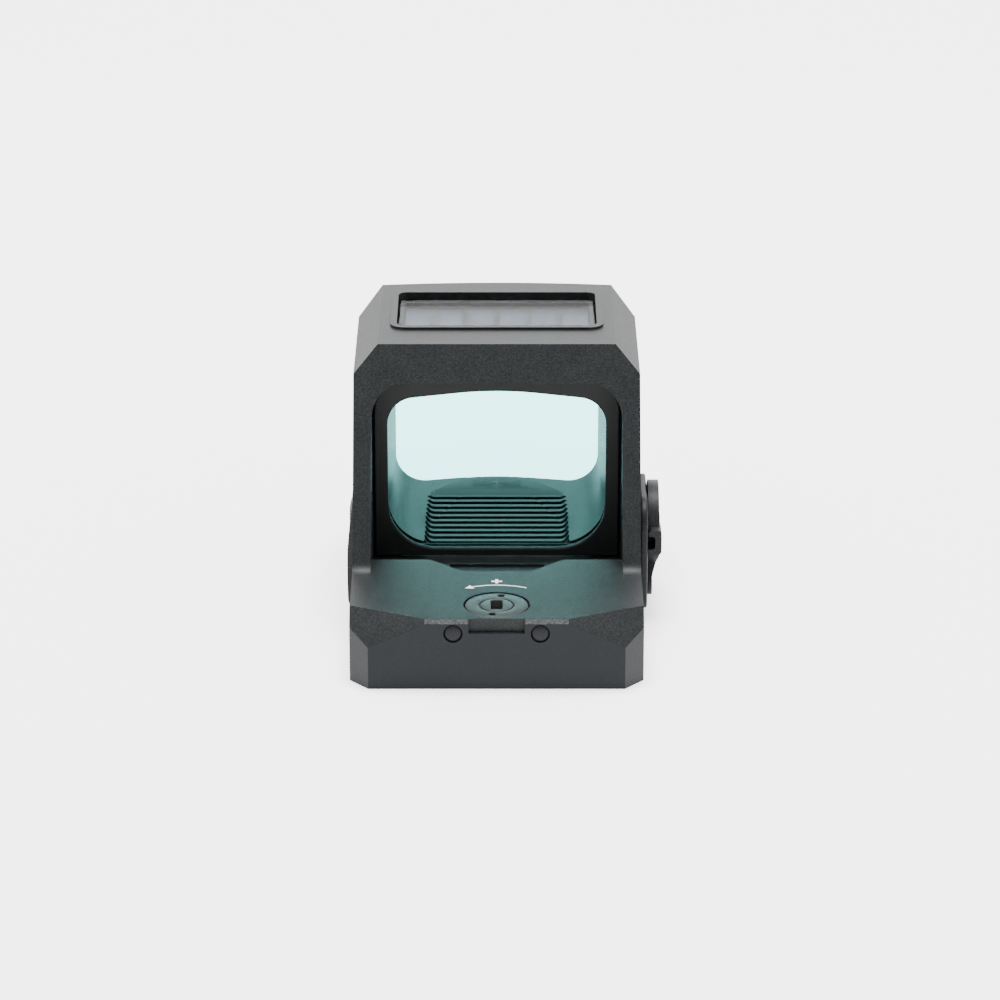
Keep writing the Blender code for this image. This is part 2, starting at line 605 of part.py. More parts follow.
def cut_electronics(block):
    """Cavity from below, emitter channel and the adjuster bores."""
    cavity = rectangle(-CAVITY_X, CAVITY_X, CAVITY_REAR, CAVITY_FRONT)
    boolean(block, prism("cavity_cutter", "Z", [cavity], -OVERRUN, CAVITY_TOP))
    channel = rectangle(-CHANNEL_X, CHANNEL_X, CHANNEL_REAR, CAVITY_FRONT)
    boolean(block, prism("channel_cutter", "Z", [channel], OVERRUN, CHANNEL_TOP))
    cover = rectangle(-COVER_X - GAP, COVER_X + GAP, COVER_REAR - GAP, COVER_FRONT + GAP, COVER_RADIUS)
    boolean(block, prism("cover_cutter", "Z", [cover], -OVERRUN, COVER_POCKET))
    bore(block, "beam_cutter", "Y", (0, EMITTER_Z), BEAM_RADIUS, CAVITY_FRONT - OVERRUN / 2,
         NOTCH_REAR_Y + OVERRUN / 2, 16)
    bore(block, "elevation_seat_cutter", "Z", (0, ELEVATION_Y), ELEVATION_HEAD + HEAD_CLEAR,
         ELEVATION_SEAT, DECK_Z + OVERRUN, 48)
    bore(block, "elevation_bore_cutter", "Z", (0, ELEVATION_Y), ELEVATION_BORE, CAVITY_TOP - OVERRUN,
         ELEVATION_SEAT + OVERRUN)
    bore(block, "windage_seat_cutter", "X", (WINDAGE_Y, WINDAGE_Z), WINDAGE_HEAD + HEAD_CLEAR,
         WINDAGE_SEAT, HALF_WIDTH + OVERRUN)
    bore(block, "windage_bore_cutter", "X", (WINDAGE_Y, WINDAGE_Z), WINDAGE_BORE, WINDAGE_BORE_END,
         WINDAGE_SEAT + OVERRUN)


def cut_drawer(block):
    """Slot for the battery drawer, the door seal's pocket and the blind hole of the latch's pin."""
    slot = rectangle(SLOT_INNER, HALF_WIDTH + OVERRUN, SIDE_Y - DRAWER_HALF - GAP,
                     SIDE_Y + DRAWER_HALF + GAP)
    boolean(block, prism("drawer_cutter", "Z", [slot], DRAWER_LOW - GAP, DRAWER_HIGH + GAP))
    boolean(block, prism("seal_cutter", "X", [side_outline(SEAL_INSET - GAP)], SEAL_POCKET,
                         HALF_WIDTH + OVERRUN))
    bore(block, "latch_hole_cutter", "X", (SIDE_Y, LATCH_Z), LATCH_HOLE, LATCH_HOLE_END,
         SEAL_POCKET + OVERRUN)


def side_outline(inset=0.0):
    """The rounded outline, in (Y, Z), that the door and the keypad share."""
    near, far = SIDE_Y - SIDE_HALF + inset, SIDE_Y + SIDE_HALF - inset
    low_radius, high_radius = (radius - inset for radius in SIDE_RADII)
    return rounded([(near, SIDE_LOW + inset, low_radius), (far, SIDE_LOW + inset, low_radius),
                    (far, SIDE_HIGH - inset, high_radius), (near, SIDE_HIGH - inset, high_radius)])


def cut_keypad(block):
    """Left pocket of the keypad, with a deeper round pocket for each switch."""
    floor = -HALF_WIDTH + KEYPAD_DEPTH
    boolean(block, prism("keypad_cutter", "X", [side_outline()], -HALF_WIDTH - OVERRUN, floor))
    for label, (height, _, _) in BUTTONS.items():
        bore(block, "switch_cutter_" + label, "X", (SIDE_Y, height), SWITCH_POCKET, floor - OVERRUN,
             floor + SWITCH_DEPTH)


def cut_rear(block):
    """Aiming notch between two dot seats in the rear face."""
    notch = rectangle(-AIM_NOTCH_X, AIM_NOTCH_X, REAR_Y - OVERRUN, REAR_Y + AIM_NOTCH_DEPTH)
    boolean(block, prism("aiming_notch_cutter", "Z", [notch], DOT_Z, DECK_Z + OVERRUN))
    for hand, label in ((-1, "left"), (1, "right")):
        bore(block, "dot_cutter_" + label, "Y", (hand * DOT_X, DOT_Z), DOT_RADIUS + DOT_CLEAR,
             REAR_Y - OVERRUN, DOT_SEAT)


def cut_underside(block):
    """Two blind mounting bores, two lug sockets and the holes of the cover's screws."""
    for hand, label in ((-1, "left"), (1, "right")):
        for kind, (x, y), (radius, depth) in (("bore", BORE_PLACE, BORE_SIZE),
                                              ("socket", LUG_SOCKET_PLACE, LUG_SOCKET_SIZE)):
            bore(block, f"{kind}_cutter_{label}", "Z", (hand * x, y), radius, -OVERRUN, depth)
    radius, depth = COVER_THREAD
    for number, place in enumerate(cover_screw_places(), 1):
        bore(block, f"thread_cutter_{number}", "Z", place, radius, COVER_POCKET - OVERRUN, depth, 12)


def make_housing():
    block = housing_block()
    cut_window(block)
    cut_panel_seat(block)
    cut_electronics(block)
    cut_drawer(block)
    cut_keypad(block)
    cut_rear(block)
    cut_underside(block)


# ---- Optics ----------------------------------------------------------------
def opening_outline():
    """The clear opening of the lens: arched top, large lower corners."""
    low_radius, shoulder_radius, arch_radius = OPENING_RADII
    return rounded([(-OPENING_X, OPENING_LOW, low_radius), (OPENING_X, OPENING_LOW, low_radius),
                    (OPENING_X, OPENING_SHOULDER, shoulder_radius), (0, OPENING_TOP, arch_radius),
                    (-OPENING_X, OPENING_SHOULDER, shoulder_radius)])


def lens_outline(side, low, high):
    low_radius, high_radius = LENS_RADII
    return rounded([(-side, low, low_radius), (side, low, low_radius), (side, high, high_radius),
                    (-side, high, high_radius)])


def make_optics():
    """Black retainer towards the eye, then the lens, then its gasket against the ledge."""
    edge = RECESS_X - GAP
    frame = rounded([(-edge, WELL_Z + GAP, 0), (edge, WELL_Z + GAP, 0),
                     (edge, RECESS_TOP - GAP, RECESS_RADIUS), (-edge, RECESS_TOP - GAP, RECESS_RADIUS)])
    prism("lens_retainer", "Y", [frame, opening_outline()], RETAINER_Y, RETAINER_Y + RETAINER_THICK,
          "black_plastic")
    outer = lens_outline(RECESS_X - LENS_EDGE, WELL_Z + LENS_FOOT, RECESS_TOP - LENS_EDGE)
    prism("lens", "Y", [outer], LENS_Y, LENS_Y + LENS_THICK, "lens")
    side, _, _, top = TUNNEL
    inner = lens_outline(side + GASKET_LAP, WELL_Z + GASKET_FOOT, top - GASKET_ROOF)
    prism("lens_gasket", "Y", [outer, inner], GASKET_Y, GASKET_Y + GASKET_THICK, "rubber")


def make_solar_panel():
    """From the roof down: glass, seal, six cells and the board that carries them."""
    side = PANEL_X - GAP
    near, far = PANEL_NEAR + GAP, PANEL_FAR - GAP
    outer = rectangle(-side, side, near, far, PANEL_RADIUS - GAP)
    bottom = GLASS_TOP - GLASS_THICK
    prism("solar_window", "Z", [outer], bottom, GLASS_TOP, "panel_glass")
    rim = PANEL_SEAL_WIDE
    inner = rectangle(-side + rim, side - rim, near + rim, far - rim)
    prism("solar_seal", "Z", [outer, inner], bottom - GAP - PANEL_SEAL, bottom - GAP, "rubber")
    floor = PANEL_FLOOR + GAP
    prism("solar_board", "Z", [outer], floor, floor + PANEL_BOARD, "panel_board")
    middle = (near + far) / 2
    low = floor + PANEL_BOARD + GAP
    wide, deep, thick = CELL_SIZE
    for number in range(CELLS):
        x = (number - (CELLS - 1) / 2) * CELL_PITCH
        box(f"solar_cell_{number + 1}", (x - wide / 2, middle - deep / 2, low),
            (x + wide / 2, middle + deep / 2, low + thick), "silicon")


# ---- Adjusters and emitter -------------------------------------------------
def make_elevation():
    """Elevation screw in the deck, its seal, the slider that it lifts and the slider's spring."""
    top = ELEVATION_TOP
    across = (0, ELEVATION_Y)
    head = prism("elevation_screw", "Z", [circle(across, ELEVATION_HEAD, 48)], top - ELEVATION_HEAD_THICK,
                 top, "steel")
    shank = prism("elevation_shank", "Z", [circle(across, ELEVATION_SHANK)], top - ELEVATION_LENGTH,
                  top - ELEVATION_HEAD_THICK / 2)
    boolean(head, shank, "UNION")
    inner, outer = DIAL_GROOVE
    groove = prism("dial_groove", "Z", [circle(across, outer, 32), circle(across, inner, 32)],
                   top - DIAL_GROOVE_DEPTH, top + OVERRUN)
    boolean(head, groove)
    half_width, half_length = DIAL_SOCKET
    socket = rectangle(-half_width, half_width, ELEVATION_Y - half_length, ELEVATION_Y + half_length,
                       half_width / 2, 2)
    boolean(head, prism("dial_socket", "Z", [socket], top - DIAL_SOCKET_DEPTH, top + OVERRUN))
    x, y = SPANNER_HOLE
    for hand, label in ((-1, "near"), (1, "far")):
        bore(head, "spanner_hole_" + label, "Z", (hand * x, ELEVATION_Y + hand * y), SPANNER_RADIUS,
             top - SPANNER_DEPTH, top + OVERRUN, 12)
    seal = ring("elevation_oring", "Z", (*across, ELEVATION_RING_Z), ELEVATION_RING, ORING_WIRE, "rubber")
    outline = rectangle(-SLIDER_X, SLIDER_X, SLIDER_REAR, SLIDER_FRONT, SLIDER_RADIUS)
    plate = prism("elevation_slider", "Z", [outline, circle(across, ELEVATION_BORE)], SLIDER_LOW,
                  SLIDER_HIGH, "steel")
    coil_spring("elevation_spring", "Z", (*across, ELEVATION_SPRING_Z), *ELEVATION_SPRING, "steel")
    hang(axis_empty("elevation_axis", (*across, top)), head, seal)
    hang(axis_empty("elevation_slide_axis", (*across, SLIDER_HIGH)), plate)


def make_emitter():
    """Carriage with a nut for the windage screw, its diode, its spring and the sealed window."""
    carriage = box("emitter_holder", *CARRIAGE, "brass")
    boolean(carriage, box("carriage_nut", *CARRIAGE_NUT), "UNION")
    bore(carriage, "carriage_nut_cutter", "X", (WINDAGE_Y, WINDAGE_Z), CARRIAGE_BORE, CARRIAGE_BORE_INNER,
         CARRIAGE_NUT[1][0] + OVERRUN)
    diode = prism("led_emitter", "Y", [circle((0, EMITTER_Z), DIODE_RADIUS, 20)],
                  DIODE_Y - DIODE_LENGTH / 2, DIODE_Y + DIODE_LENGTH / 2, "red_emitter")
    coil_spring("windage_spring", "X", WINDAGE_SPRING_PLACE, *WINDAGE_SPRING, "steel")
    hang(axis_empty("emitter_slide_axis", (0, WINDAGE_Y, WINDAGE_Z)), carriage, diode)
    prism("emitter_window", "Y", [circle((0, EMITTER_Z), WINDOW_RADIUS, 20)],
          WINDOW_Y - WINDOW_THICK / 2, WINDOW_Y + WINDOW_THICK / 2, "panel_glass")


def make_windage():
    """Windage screw in the right side, and its seal."""
    place = (WINDAGE_Y, WINDAGE_Z)
    inner = WINDAGE_OUTER - WINDAGE_HEAD_THICK
    head = prism("windage_screw", "X", [circle(place, WINDAGE_HEAD, 32)], inner, WINDAGE_OUTER, "steel")
    shank = prism("windage_shank", "X", [circle(place, WINDAGE_SHANK, 20)], WINDAGE_TIP,
                  inner + WINDAGE_HEAD_THICK / 2)
    boolean(head, shank, "UNION")
    length, width = WINDAGE_SLOT
    slot = rectangle(WINDAGE_Y - length, WINDAGE_Y + length, WINDAGE_Z - width, WINDAGE_Z + width)
    boolean(head, prism("windage_slot", "X", [slot], WINDAGE_OUTER - WINDAGE_SLOT_DEPTH,
                        WINDAGE_OUTER + OVERRUN))
    seal = ring("windage_oring", "X", (WINDAGE_RING_X, *place), WINDAGE_RING, ORING_WIRE, "rubber")
    hang(axis_empty("windage_axis", (WINDAGE_OUTER, *place)), head, seal)


# ---- Electronics and underside ---------------------------------------------
def make_electronics():
    outline = rectangle(-CAVITY_X + GAP, CAVITY_X - GAP, CAVITY_REAR + GAP, CAVITY_FRONT - GAP, BOARD_RADIUS)
    prism("circuit_board", "Z", [outline], BOARD_LOW, BOARD_HIGH, "circuit")
    low = BOARD_HIGH + GAP
    for name, (left, rear, right, front) in CHIPS.items():
        box(name, (left, rear, low), (right, front, low + CHIP_THICK), "black_plastic")


def cover_screw_places():
    return [(hand * COVER_SCREW_X, y) for hand in (-1, 1) for y in COVER_SCREW_YS]


def make_underside():
    """Cover over the electronics, its gasket and its four screws."""
    outer = rectangle(-COVER_X, COVER_X, COVER_REAR, COVER_FRONT, COVER_RADIUS)
    cover = prism("base_cover", "Z", [outer], 0, COVER_THICK, "anodised")
    side_lap, rear_lap, front_lap = BASE_GASKET_LAP
    inner = rectangle(-CAVITY_X + side_lap, CAVITY_X - side_lap, CAVITY_REAR + rear_lap,
                      CAVITY_FRONT + front_lap, BOARD_RADIUS)
    holes = [circle(place, BASE_GASKET_HOLE, 12) for place in cover_screw_places()]
    prism("base_gasket", "Z", [outer, inner] + holes, *BASE_GASKET, "rubber")
    seat_radius, seat_depth = COVER_SEAT
    head_radius, head_low, head_high = COVER_SCREW_HEAD
    shank_radius, shank_low, shank_high = COVER_SCREW_SHANK
    for number, place in enumerate(cover_screw_places(), 1):
        bore(cover, f"cover_seat_{number}", "Z", place, seat_radius, -OVERRUN, seat_depth, 16)
        bore(cover, f"cover_hole_{number}", "Z", place, COVER_HOLE, -OVERRUN, COVER_THICK + OVERRUN, 16)
        screw = prism(f"cover_screw_{number}", "Z", [circle(place, head_radius, 16)], head_low, head_high,
                      "steel")
        shank = prism(f"cover_shank_{number}", "Z", [circle(place, shank_radius, 12)], shank_low, shank_high)
        boolean(screw, shank, "UNION")


# ---- Battery drawer --------------------------------------------------------
def make_drawer():
    """Tray with its coin cell, the seal and the door in front of it, and the latch."""
    tray = rectangle(DRAWER_INNER, DRAWER_OUTER, SIDE_Y - DRAWER_HALF, SIDE_Y + DRAWER_HALF, DRAWER_RADIUS)
    well = circle((CELL_X, SIDE_Y), CELL_RADIUS + GAP, 48)
    drawer = prism("battery_drawer", "Z", [tray, well], DRAWER_LOW, DRAWER_HIGH, "black_plastic")
    middle = (DRAWER_LOW + DRAWER_HIGH) / 2
    cell = prism("battery_cell", "Z", [circle((CELL_X, SIDE_Y), CELL_RADIUS, 48)], middle - CELL_THICK / 2,
                 middle + CELL_THICK / 2, "cell_metal")
    centre = (SIDE_Y, LATCH_Z)
    door = prism("drawer_door", "X", [side_outline(), circle(centre, DOOR_HOLE)], DOOR_INNER, DOOR_OUTER,
                 "anodised")
    seal = prism("door_seal", "X", [side_outline(SEAL_INSET), circle(centre, SEAL_HOLE)], SEAL_INNER,
                 SEAL_OUTER, "rubber")
    pin = prism("latch_pin", "X", [circle(centre, LATCH_PIN)], *LATCH_PIN_ENDS, "steel")
    hang(axis_empty("drawer_axis", (DOOR_INNER, SIDE_Y, middle)), drawer, cell, door, seal)
    hang(axis_empty("latch_axis", (DOOR_OUTER, *centre)), make_lever(), pin)


def make_lever():
    """Round hub with a ramp down to a thin tail, and a lug with a finger slot behind it."""
    centre = Vector((SIDE_Y, LATCH_Z))
    hub = prism("latch_lever", "X", [circle(centre, LEVER_HUB, 40)], LEVER_INNER, LEVER_RIM, "anodised")
    end = Vector(TAIL_END)
    boolean(hub, prism("lever_tail_end", "X", [circle(end, TAIL_RADIUS)], LEVER_INNER, LEVER_RIM), "UNION")
    along = centre - end
    across = Vector((-along.y, along.x)).normalized() * TAIL_RADIUS
    reach = end + along * TAIL_REACH
    web = [tuple(end + across), tuple(end - across), tuple(reach - across), tuple(reach + across)]
    boolean(hub, prism("lever_tail_web", "X", [web], LEVER_INNER, LEVER_RIM), "UNION")
    rise_low, rise_high = LEVER_RISE
    roof = centre.y + 2 * LEVER_HUB
    side = [(LEVER_INNER - OVERRUN, 0), (LEVER_TAIL_X, 0), (LEVER_TAIL_X, LEVER_TAIL_TOP),
            (LEVER_RIM, LEVER_RAMP_TOP), (LEVER_RIM, rise_low), (LEVER_FACE, rise_high),
            (LEVER_FACE, roof), (LEVER_INNER - OVERRUN, roof)]
    boolean(hub, prism("lever_side_cutter", "Y", [side], -2 * LEVER_HUB, 2 * LEVER_HUB), "INTERSECT")
    near, far, low, high = LUG
    lug = rectangle(LEVER_INNER, LEVER_RIM, low, high, LUG_RADIUS)
    boolean(hub, prism("lever_lug", "Y", [lug], near, far), "UNION")
    outer, slot_far, slot_low, slot_high = FINGER_SLOT
    slot = rectangle(LEVER_INNER - OVERRUN, outer, slot_low, slot_high, FINGER_RADIUS)
    boolean(hub, prism("finger_slot_cutter", "Y", [slot], near - OVERRUN, slot_far))
    bore(hub, "lever_bore", "X", centre, DOOR_HOLE, LEVER_INNER - OVERRUN, LEVER_RIM + OVERRUN)
    return hub


def make_contacts():
    """Two contact strips at the inner end of the drawer's slot."""
    for label, hand in (("positive", 1), ("negative", -1)):
        y = SIDE_Y + hand * CONTACT_OFFSET
        box("contact_" + label, (CONTACT_X, y - CONTACT_HALF, DRAWER_LOW + CONTACT_INSET),
            (CONTACT_X + CONTACT_THICK, y + CONTACT_HALF, DRAWER_HIGH - CONTACT_INSET), "brass")


# ---- Keypad and rear dots --------------------------------------------------
def make_keypad():
    """Crowned rubber frame with two buttons, each over its dome switch."""
    holes = [circle((SIDE_Y, height), BUTTON_RADIUS + GAP) for height, _, _ in BUTTONS.values()]
    proud = max(how_proud for how_proud, _ in KEYPAD_CROWN)
    frame = prism("keypad_frame", "X", [side_outline(GAP)] + holes, -HALF_WIDTH - proud - OVERRUN,
                  KEYPAD_FLOOR, "rubber")
    crown = [(KEYPAD_FLOOR + OVERRUN, 0)]
    crown += [(-HALF_WIDTH - how_proud, height) for how_proud, height in KEYPAD_CROWN]
    crown.append((KEYPAD_FLOOR + OVERRUN, SIDE_HIGH))
    boolean(frame, prism("keypad_crown_cutter", "Y", [crown], SIDE_Y - 2 * SIDE_HALF,
                         SIDE_Y + 2 * SIDE_HALF), "INTERSECT")
    for label, (height, rim, top) in BUTTONS.items():
        shoulder, outer = -HALF_WIDTH - rim, -HALF_WIDTH - top
        button = prism("button_" + label, "X", [circle((SIDE_Y, height), BUTTON_RADIUS)], shoulder,
                       KEYPAD_FLOOR - BUTTON_ROOM, "rubber")
        middle = (outer + shoulder + BUTTON_ROOM) / 2
        dome = cylinder("button_dome_" + label, "X", (middle, SIDE_Y, height), BUTTON_TOP_RADIUS,
                        shoulder + BUTTON_ROOM - outer, far_radius=BUTTON_RADIUS)
        boolean(button, dome, "UNION")
        prism("switch_" + label, "X", [circle((SIDE_Y, height), SWITCH_RADIUS)], SWITCH_X - SWITCH_THICK / 2,
              SWITCH_X + SWITCH_THICK / 2, "brass")
        hang(axis_empty(f"button_{label}_axis", (outer, SIDE_Y, height)), button)


def make_rear_dots():
    for hand, label in ((-1, "left"), (1, "right")):
        prism("rear_dot_" + label, "Y", [circle((hand * DOT_X, DOT_Z), DOT_RADIUS)], *DOT_ENDS, "steel")


def main():
    global parts, cutters
    for old in list(bpy.data.objects):
        bpy.data.objects.remove(old)
    parts = bpy.data.collections.new("red_dot_sight")
    cutters = bpy.data.collections.new("cutters")
    for collection in (parts, cutters):
        bpy.context.scene.collection.children.link(collection)
    make_housing()
    make_optics()
    make_solar_panel()
    make_elevation()
    make_emitter()
    make_windage()
    make_electronics()
    make_underside()
    make_drawer()
    make_contacts()
    make_keypad()
    make_rear_dots()


main()
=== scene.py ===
"""Looks of the open reflex sight: fine meshes and procedural materials around the CAD frame."""

from math import atan2, cos, pi, radians, sin, sqrt, tan

import bmesh
import bpy
from mathutils import Matrix, Vector


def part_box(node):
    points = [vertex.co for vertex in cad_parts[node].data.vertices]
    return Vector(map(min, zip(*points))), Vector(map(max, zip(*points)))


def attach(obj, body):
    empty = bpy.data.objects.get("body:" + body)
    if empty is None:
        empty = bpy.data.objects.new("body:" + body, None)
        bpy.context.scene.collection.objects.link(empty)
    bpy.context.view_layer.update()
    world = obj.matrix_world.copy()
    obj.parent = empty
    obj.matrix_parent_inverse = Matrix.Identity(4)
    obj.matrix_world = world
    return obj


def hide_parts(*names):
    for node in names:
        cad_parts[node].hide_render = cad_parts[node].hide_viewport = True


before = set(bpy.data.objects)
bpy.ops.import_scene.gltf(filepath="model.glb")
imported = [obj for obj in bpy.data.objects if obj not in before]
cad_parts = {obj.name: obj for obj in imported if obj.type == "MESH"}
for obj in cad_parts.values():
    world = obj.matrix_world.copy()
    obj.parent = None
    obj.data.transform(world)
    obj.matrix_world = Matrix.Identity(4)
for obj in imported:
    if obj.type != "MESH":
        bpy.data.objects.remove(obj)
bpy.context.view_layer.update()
MM = 0.001

# ---- Places read from the frame --------------------------------------------
HOUSING_LOW, HOUSING_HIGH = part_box("housing")
RETAINER_LOW, RETAINER_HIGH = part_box("lens_retainer")
LENS_LOW, LENS_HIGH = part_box("lens")
WINDOW_LOW, WINDOW_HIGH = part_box("solar_window")
SCREW_LOW, SCREW_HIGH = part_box("elevation_screw")
WINDAGE_LOW, WINDAGE_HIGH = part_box("windage_screw")
DOOR_LOW, DOOR_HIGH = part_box("drawer_door")
LEVER_LOW, LEVER_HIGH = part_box("latch_lever")
PIN_LOW, PIN_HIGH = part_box("latch_pin")
KEYPAD_LOW, KEYPAD_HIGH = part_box("keypad_frame")
COVER_LOW, COVER_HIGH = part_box("base_cover")
DRAWER_LOW, DRAWER_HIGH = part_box("battery_drawer")
DOT_LOW, DOT_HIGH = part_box("rear_dot_right")

HALF_WIDTH = HOUSING_HIGH[0]
REAR_Y = HOUSING_LOW[1]
FRONT_Y = HOUSING_HIGH[1]
BEZEL_Z = HOUSING_HIGH[2]

# ---- Housing shape, as the CAD has it --------------------------------------
TOP_Z = BEZEL_Z - 0.25 * MM
DECK_Z = 7.5 * MM
FRONT_CORNER_Y = FRONT_Y - 0.8 * MM
FOOT_Y = -9.2 * MM
HOOD_Y = 2.0 * MM
FOOT_FILLET = 1.8 * MM
SHOULDER_X = 12.45 * MM
SHOULDER_Z = 25.9 * MM
REAR_CHAMFER = 0.45 * MM
CORNER_X = 13.05 * MM
CORNER_Y = -20.2 * MM
# The facet on each rear corner lies in the plane of three points.
FACET_REAR = (7.35 * MM, REAR_Y, DECK_Z - REAR_CHAMFER)
FACET_CORNER = (CORNER_X, REAR_Y, 4.5 * MM)
FACET_SIDE = (HALF_WIDTH, -18.4 * MM, DECK_Z)
RECESS_X = 13.1 * MM
RECESS_TOP = 25.0 * MM
RECESS_RADIUS = 3.4 * MM
DECK_EDGE_Y = -5.65 * MM
WELL_Z = 4.9 * MM
NOTCH_REAR_Y = -9.0 * MM
NOTCH_REAR_X = 3.55 * MM
NOTCH_FRONT_X = 7.0 * MM
NOTCH_Z = 4.4 * MM
LEDGE_Y = 5.0 * MM
TUNNEL = (11.1 * MM, 5.7 * MM, 6.35 * MM, 24.3 * MM)  # half width, low, middle of the floor, top
THROAT = (11.4 * MM, 5.7 * MM, 6.0 * MM, 24.3 * MM)
THROAT_Y = 12.0 * MM
THROAT_LOW_RADIUS = 3.3 * MM
FLARE = (11.6 * MM, 5.3 * MM, 5.4 * MM, 24.4 * MM)
FLARE_LOW_RADIUS = 5.0 * MM
TUNNEL_HUMP_RADIUS = 60 * MM
TUNNEL_TOP_RADIUS = 3.6 * MM
RAMP_X = 7.8 * MM
RAMP_START = (5.0 * MM, 4.7 * MM)
RAMP_END = (18.65 * MM, 5.8 * MM)
RAMP_RUNOUT = (21.6 * MM, 6.45 * MM)
RAMP_GROOVES = 11
GROOVE_SHARE = 0.36  # a little wider than in the CAD
GROOVE_DEPTH = 0.4 * MM
RAMP_SWEEP = (1.0 * MM, 1.3 * MM)  # how far its ends bend in from the sides, and up
STEP_X = 5.0 * MM
STEP_Y = -0.4 * MM
STEP_Z = 4.65 * MM
CAVITY_X = 10.6 * MM
CAVITY_REAR = -20.4 * MM
CAVITY_FRONT = -9.9 * MM
CAVITY_TOP = 5.2 * MM
CHANNEL_X = 4.5 * MM
CHANNEL_REAR = -14.2 * MM
CHANNEL_TOP = 6.7 * MM
EMITTER_Z = 5.2 * MM
BEAM_RADIUS = 0.9 * MM
SIDE_RADII = (1.0 * MM, 3.0 * MM)  # low and high corners of the door and the keypad
SEAL_FLOOR_X = 14.4 * MM
LATCH_HOLE_RADIUS = 1.35 * MM
LATCH_HOLE_END = 14.8 * MM
PIN_HOLE_RADIUS = 1.25 * MM
SWITCH_HOLE_RADIUS = 2.0 * MM
BUTTON_HOLE_RADIUS = 2.45 * MM
LEVER_HUB = 4.66 * MM
LEVER_FACE = 17.1 * MM
LEVER_TAIL_X = 16.4 * MM
LEVER_TAIL_TOP = 4.3 * MM
LEVER_RAMP_TOP = 7.3 * MM
LEVER_RISE = (9.0 * MM, 9.9 * MM)  # where the rim slopes in to the face
TAIL_END = (-1.2 * MM, 3.3 * MM)
TAIL_RADIUS = 1.4 * MM
LUG = (-3.6 * MM, -1.5 * MM, 7.2 * MM, 9.95 * MM)  # near, far, low, high
FINGER_SLOT = (16.65 * MM, -1.0 * MM, 7.8 * MM, 9.25 * MM)  # outer, far, low, high
KEYPAD_CROWN = (  # how proud of the side, and at what height
    (0.30 * MM, 1.35 * MM), (0.62 * MM, 2.0 * MM), (0.70 * MM, 3.4 * MM), (0.70 * MM, 7.2 * MM),
    (0.55 * MM, 9.4 * MM), (0.35 * MM, 11.2 * MM), (0.15 * MM, 12.7 * MM))
PANEL_GAP = 0.2 * MM
BEZEL_WIDE = 0.7 * MM
PANEL_RADIUS = 0.9 * MM
PANEL_FLOOR = 26.4 * MM
ELEVATION_Y = (SCREW_LOW[1] + SCREW_HIGH[1]) / 2
ELEVATION_SEAT = 5.6 * MM
ELEVATION_BORE_RADIUS = 1.4 * MM
WINDAGE_SEAT = 12.8 * MM
WINDAGE_BORE_RADIUS = 0.85 * MM
AIM_NOTCH_X = 2.85 * MM
AIM_NOTCH_DEPTH = 0.55 * MM
MOUNT_X = 10.5 * MM
MOUNT_BORE = (13.5 * MM, 1.25 * MM, 3.8 * MM)  # y, radius, depth
MOUNT_SOCKET = (18.6 * MM, 2.0 * MM, 1.2 * MM)
COVER_SCREWS = 4
THREAD_RADIUS = 0.65 * MM
THREAD_TOP = 3.7 * MM
SCREW_SEAT = (0.8 * MM, 0.5 * MM)  # radius, depth
SCREW_HOLE_RADIUS = 0.55 * MM

# ---- Optics ----------------------------------------------------------------
OPENING_X = 11.5 * MM
OPENING_HEIGHTS = (5.95 * MM, 22.6 * MM, 23.85 * MM)  # low, shoulder, top
OPENING_RADII = (5.0 * MM, 3.0 * MM, 40 * MM)
LENS_CURVE = 220 * MM
LENS_BOW = 0.62 * MM  # room that the bowed far face needs
LENS_RINGS = 14

# ---- Screw heads -----------------------------------------------------------
DIAL_THICK = 1.3 * MM
DIAL_GROOVE = (1.62 * MM, 1.68 * MM, 1.80 * MM, 1.86 * MM)  # edge, wall, wall, edge
DIAL_SOCKET = (0.62 * MM, 1.25 * MM, 0.9 * MM)  # half width, half length, depth
SPANNER_HOLE = (0.45 * MM, 2.5 * MM, 0.38 * MM, 0.6 * MM)  # x, y, radius, depth
WINDAGE_THICK = 1.2 * MM
WINDAGE_SLOT = (1.5 * MM, 0.3 * MM, 0.6 * MM)  # half length, half width, depth

# ---- Deck marks ------------------------------------------------------------
ARROW_RADIUS = 6.5 * MM
ARROW_ANGLES = (radians(62), radians(113))
ARROW_WIDE = 0.16 * MM
ARROW_HEAD = (radians(7), 0.95 * MM, 0.02 * MM)  # length as an angle, base, tip
PLUS_REACH = 0.55 * MM
PLUS_WIDE = 0.3 * MM

# ---- Finish ----------------------------------------------------------------
EDGE = 0.11 * MM  # softened machined edge
BLACK_TONES = ((0.0105, 0.0125, 0.0135), (0.0140, 0.0162, 0.0172))
# Darker tone for the upright rear face: painted shade for that face, not a finish of its own.
REAR_FACE_SHADE_TONE = (0.0022, 0.0036, 0.0050, 1)

# ---- Camera ----------------------------------------------------------------
CAMERA_PLACE = (0.34 * MM, -426.0 * MM, 173.0 * MM)
CAMERA_DOWN = radians(20.7)
CAMERA_LENS = 155.4

# ---- Studio ----------------------------------------------------------------
FLOOR_HALF = 3.0
FLOOR_GLOW = 1.3
SKY_STRENGTH = 1.5
SOFTBOXES = (  # name, place, target, size, watts
    ("top_softbox", (0, 0.08, 0.9), (0, 0, 0), 0.38, 22),
    ("far_softbox", (0, 1.1, 0.55), (0, 0, 0.02), 1.0, 10.5))

work_collection = bpy.data.collections.new("scratch_shapes")
bpy.context.scene.collection.children.link(work_collection)


# ---- Mesh tools ------------------------------------------------------------
def finished(name, work):
    """An object of a bmesh that holds one closed body, with its faces turned outwards."""
    bmesh.ops.recalc_face_normals(work, faces=work.faces)
    mesh = bpy.data.meshes.new(name)
    work.to_mesh(mesh)
    work.free()
    made = bpy.data.objects.new(name, mesh)
    work_collection.objects.link(made)
    return made


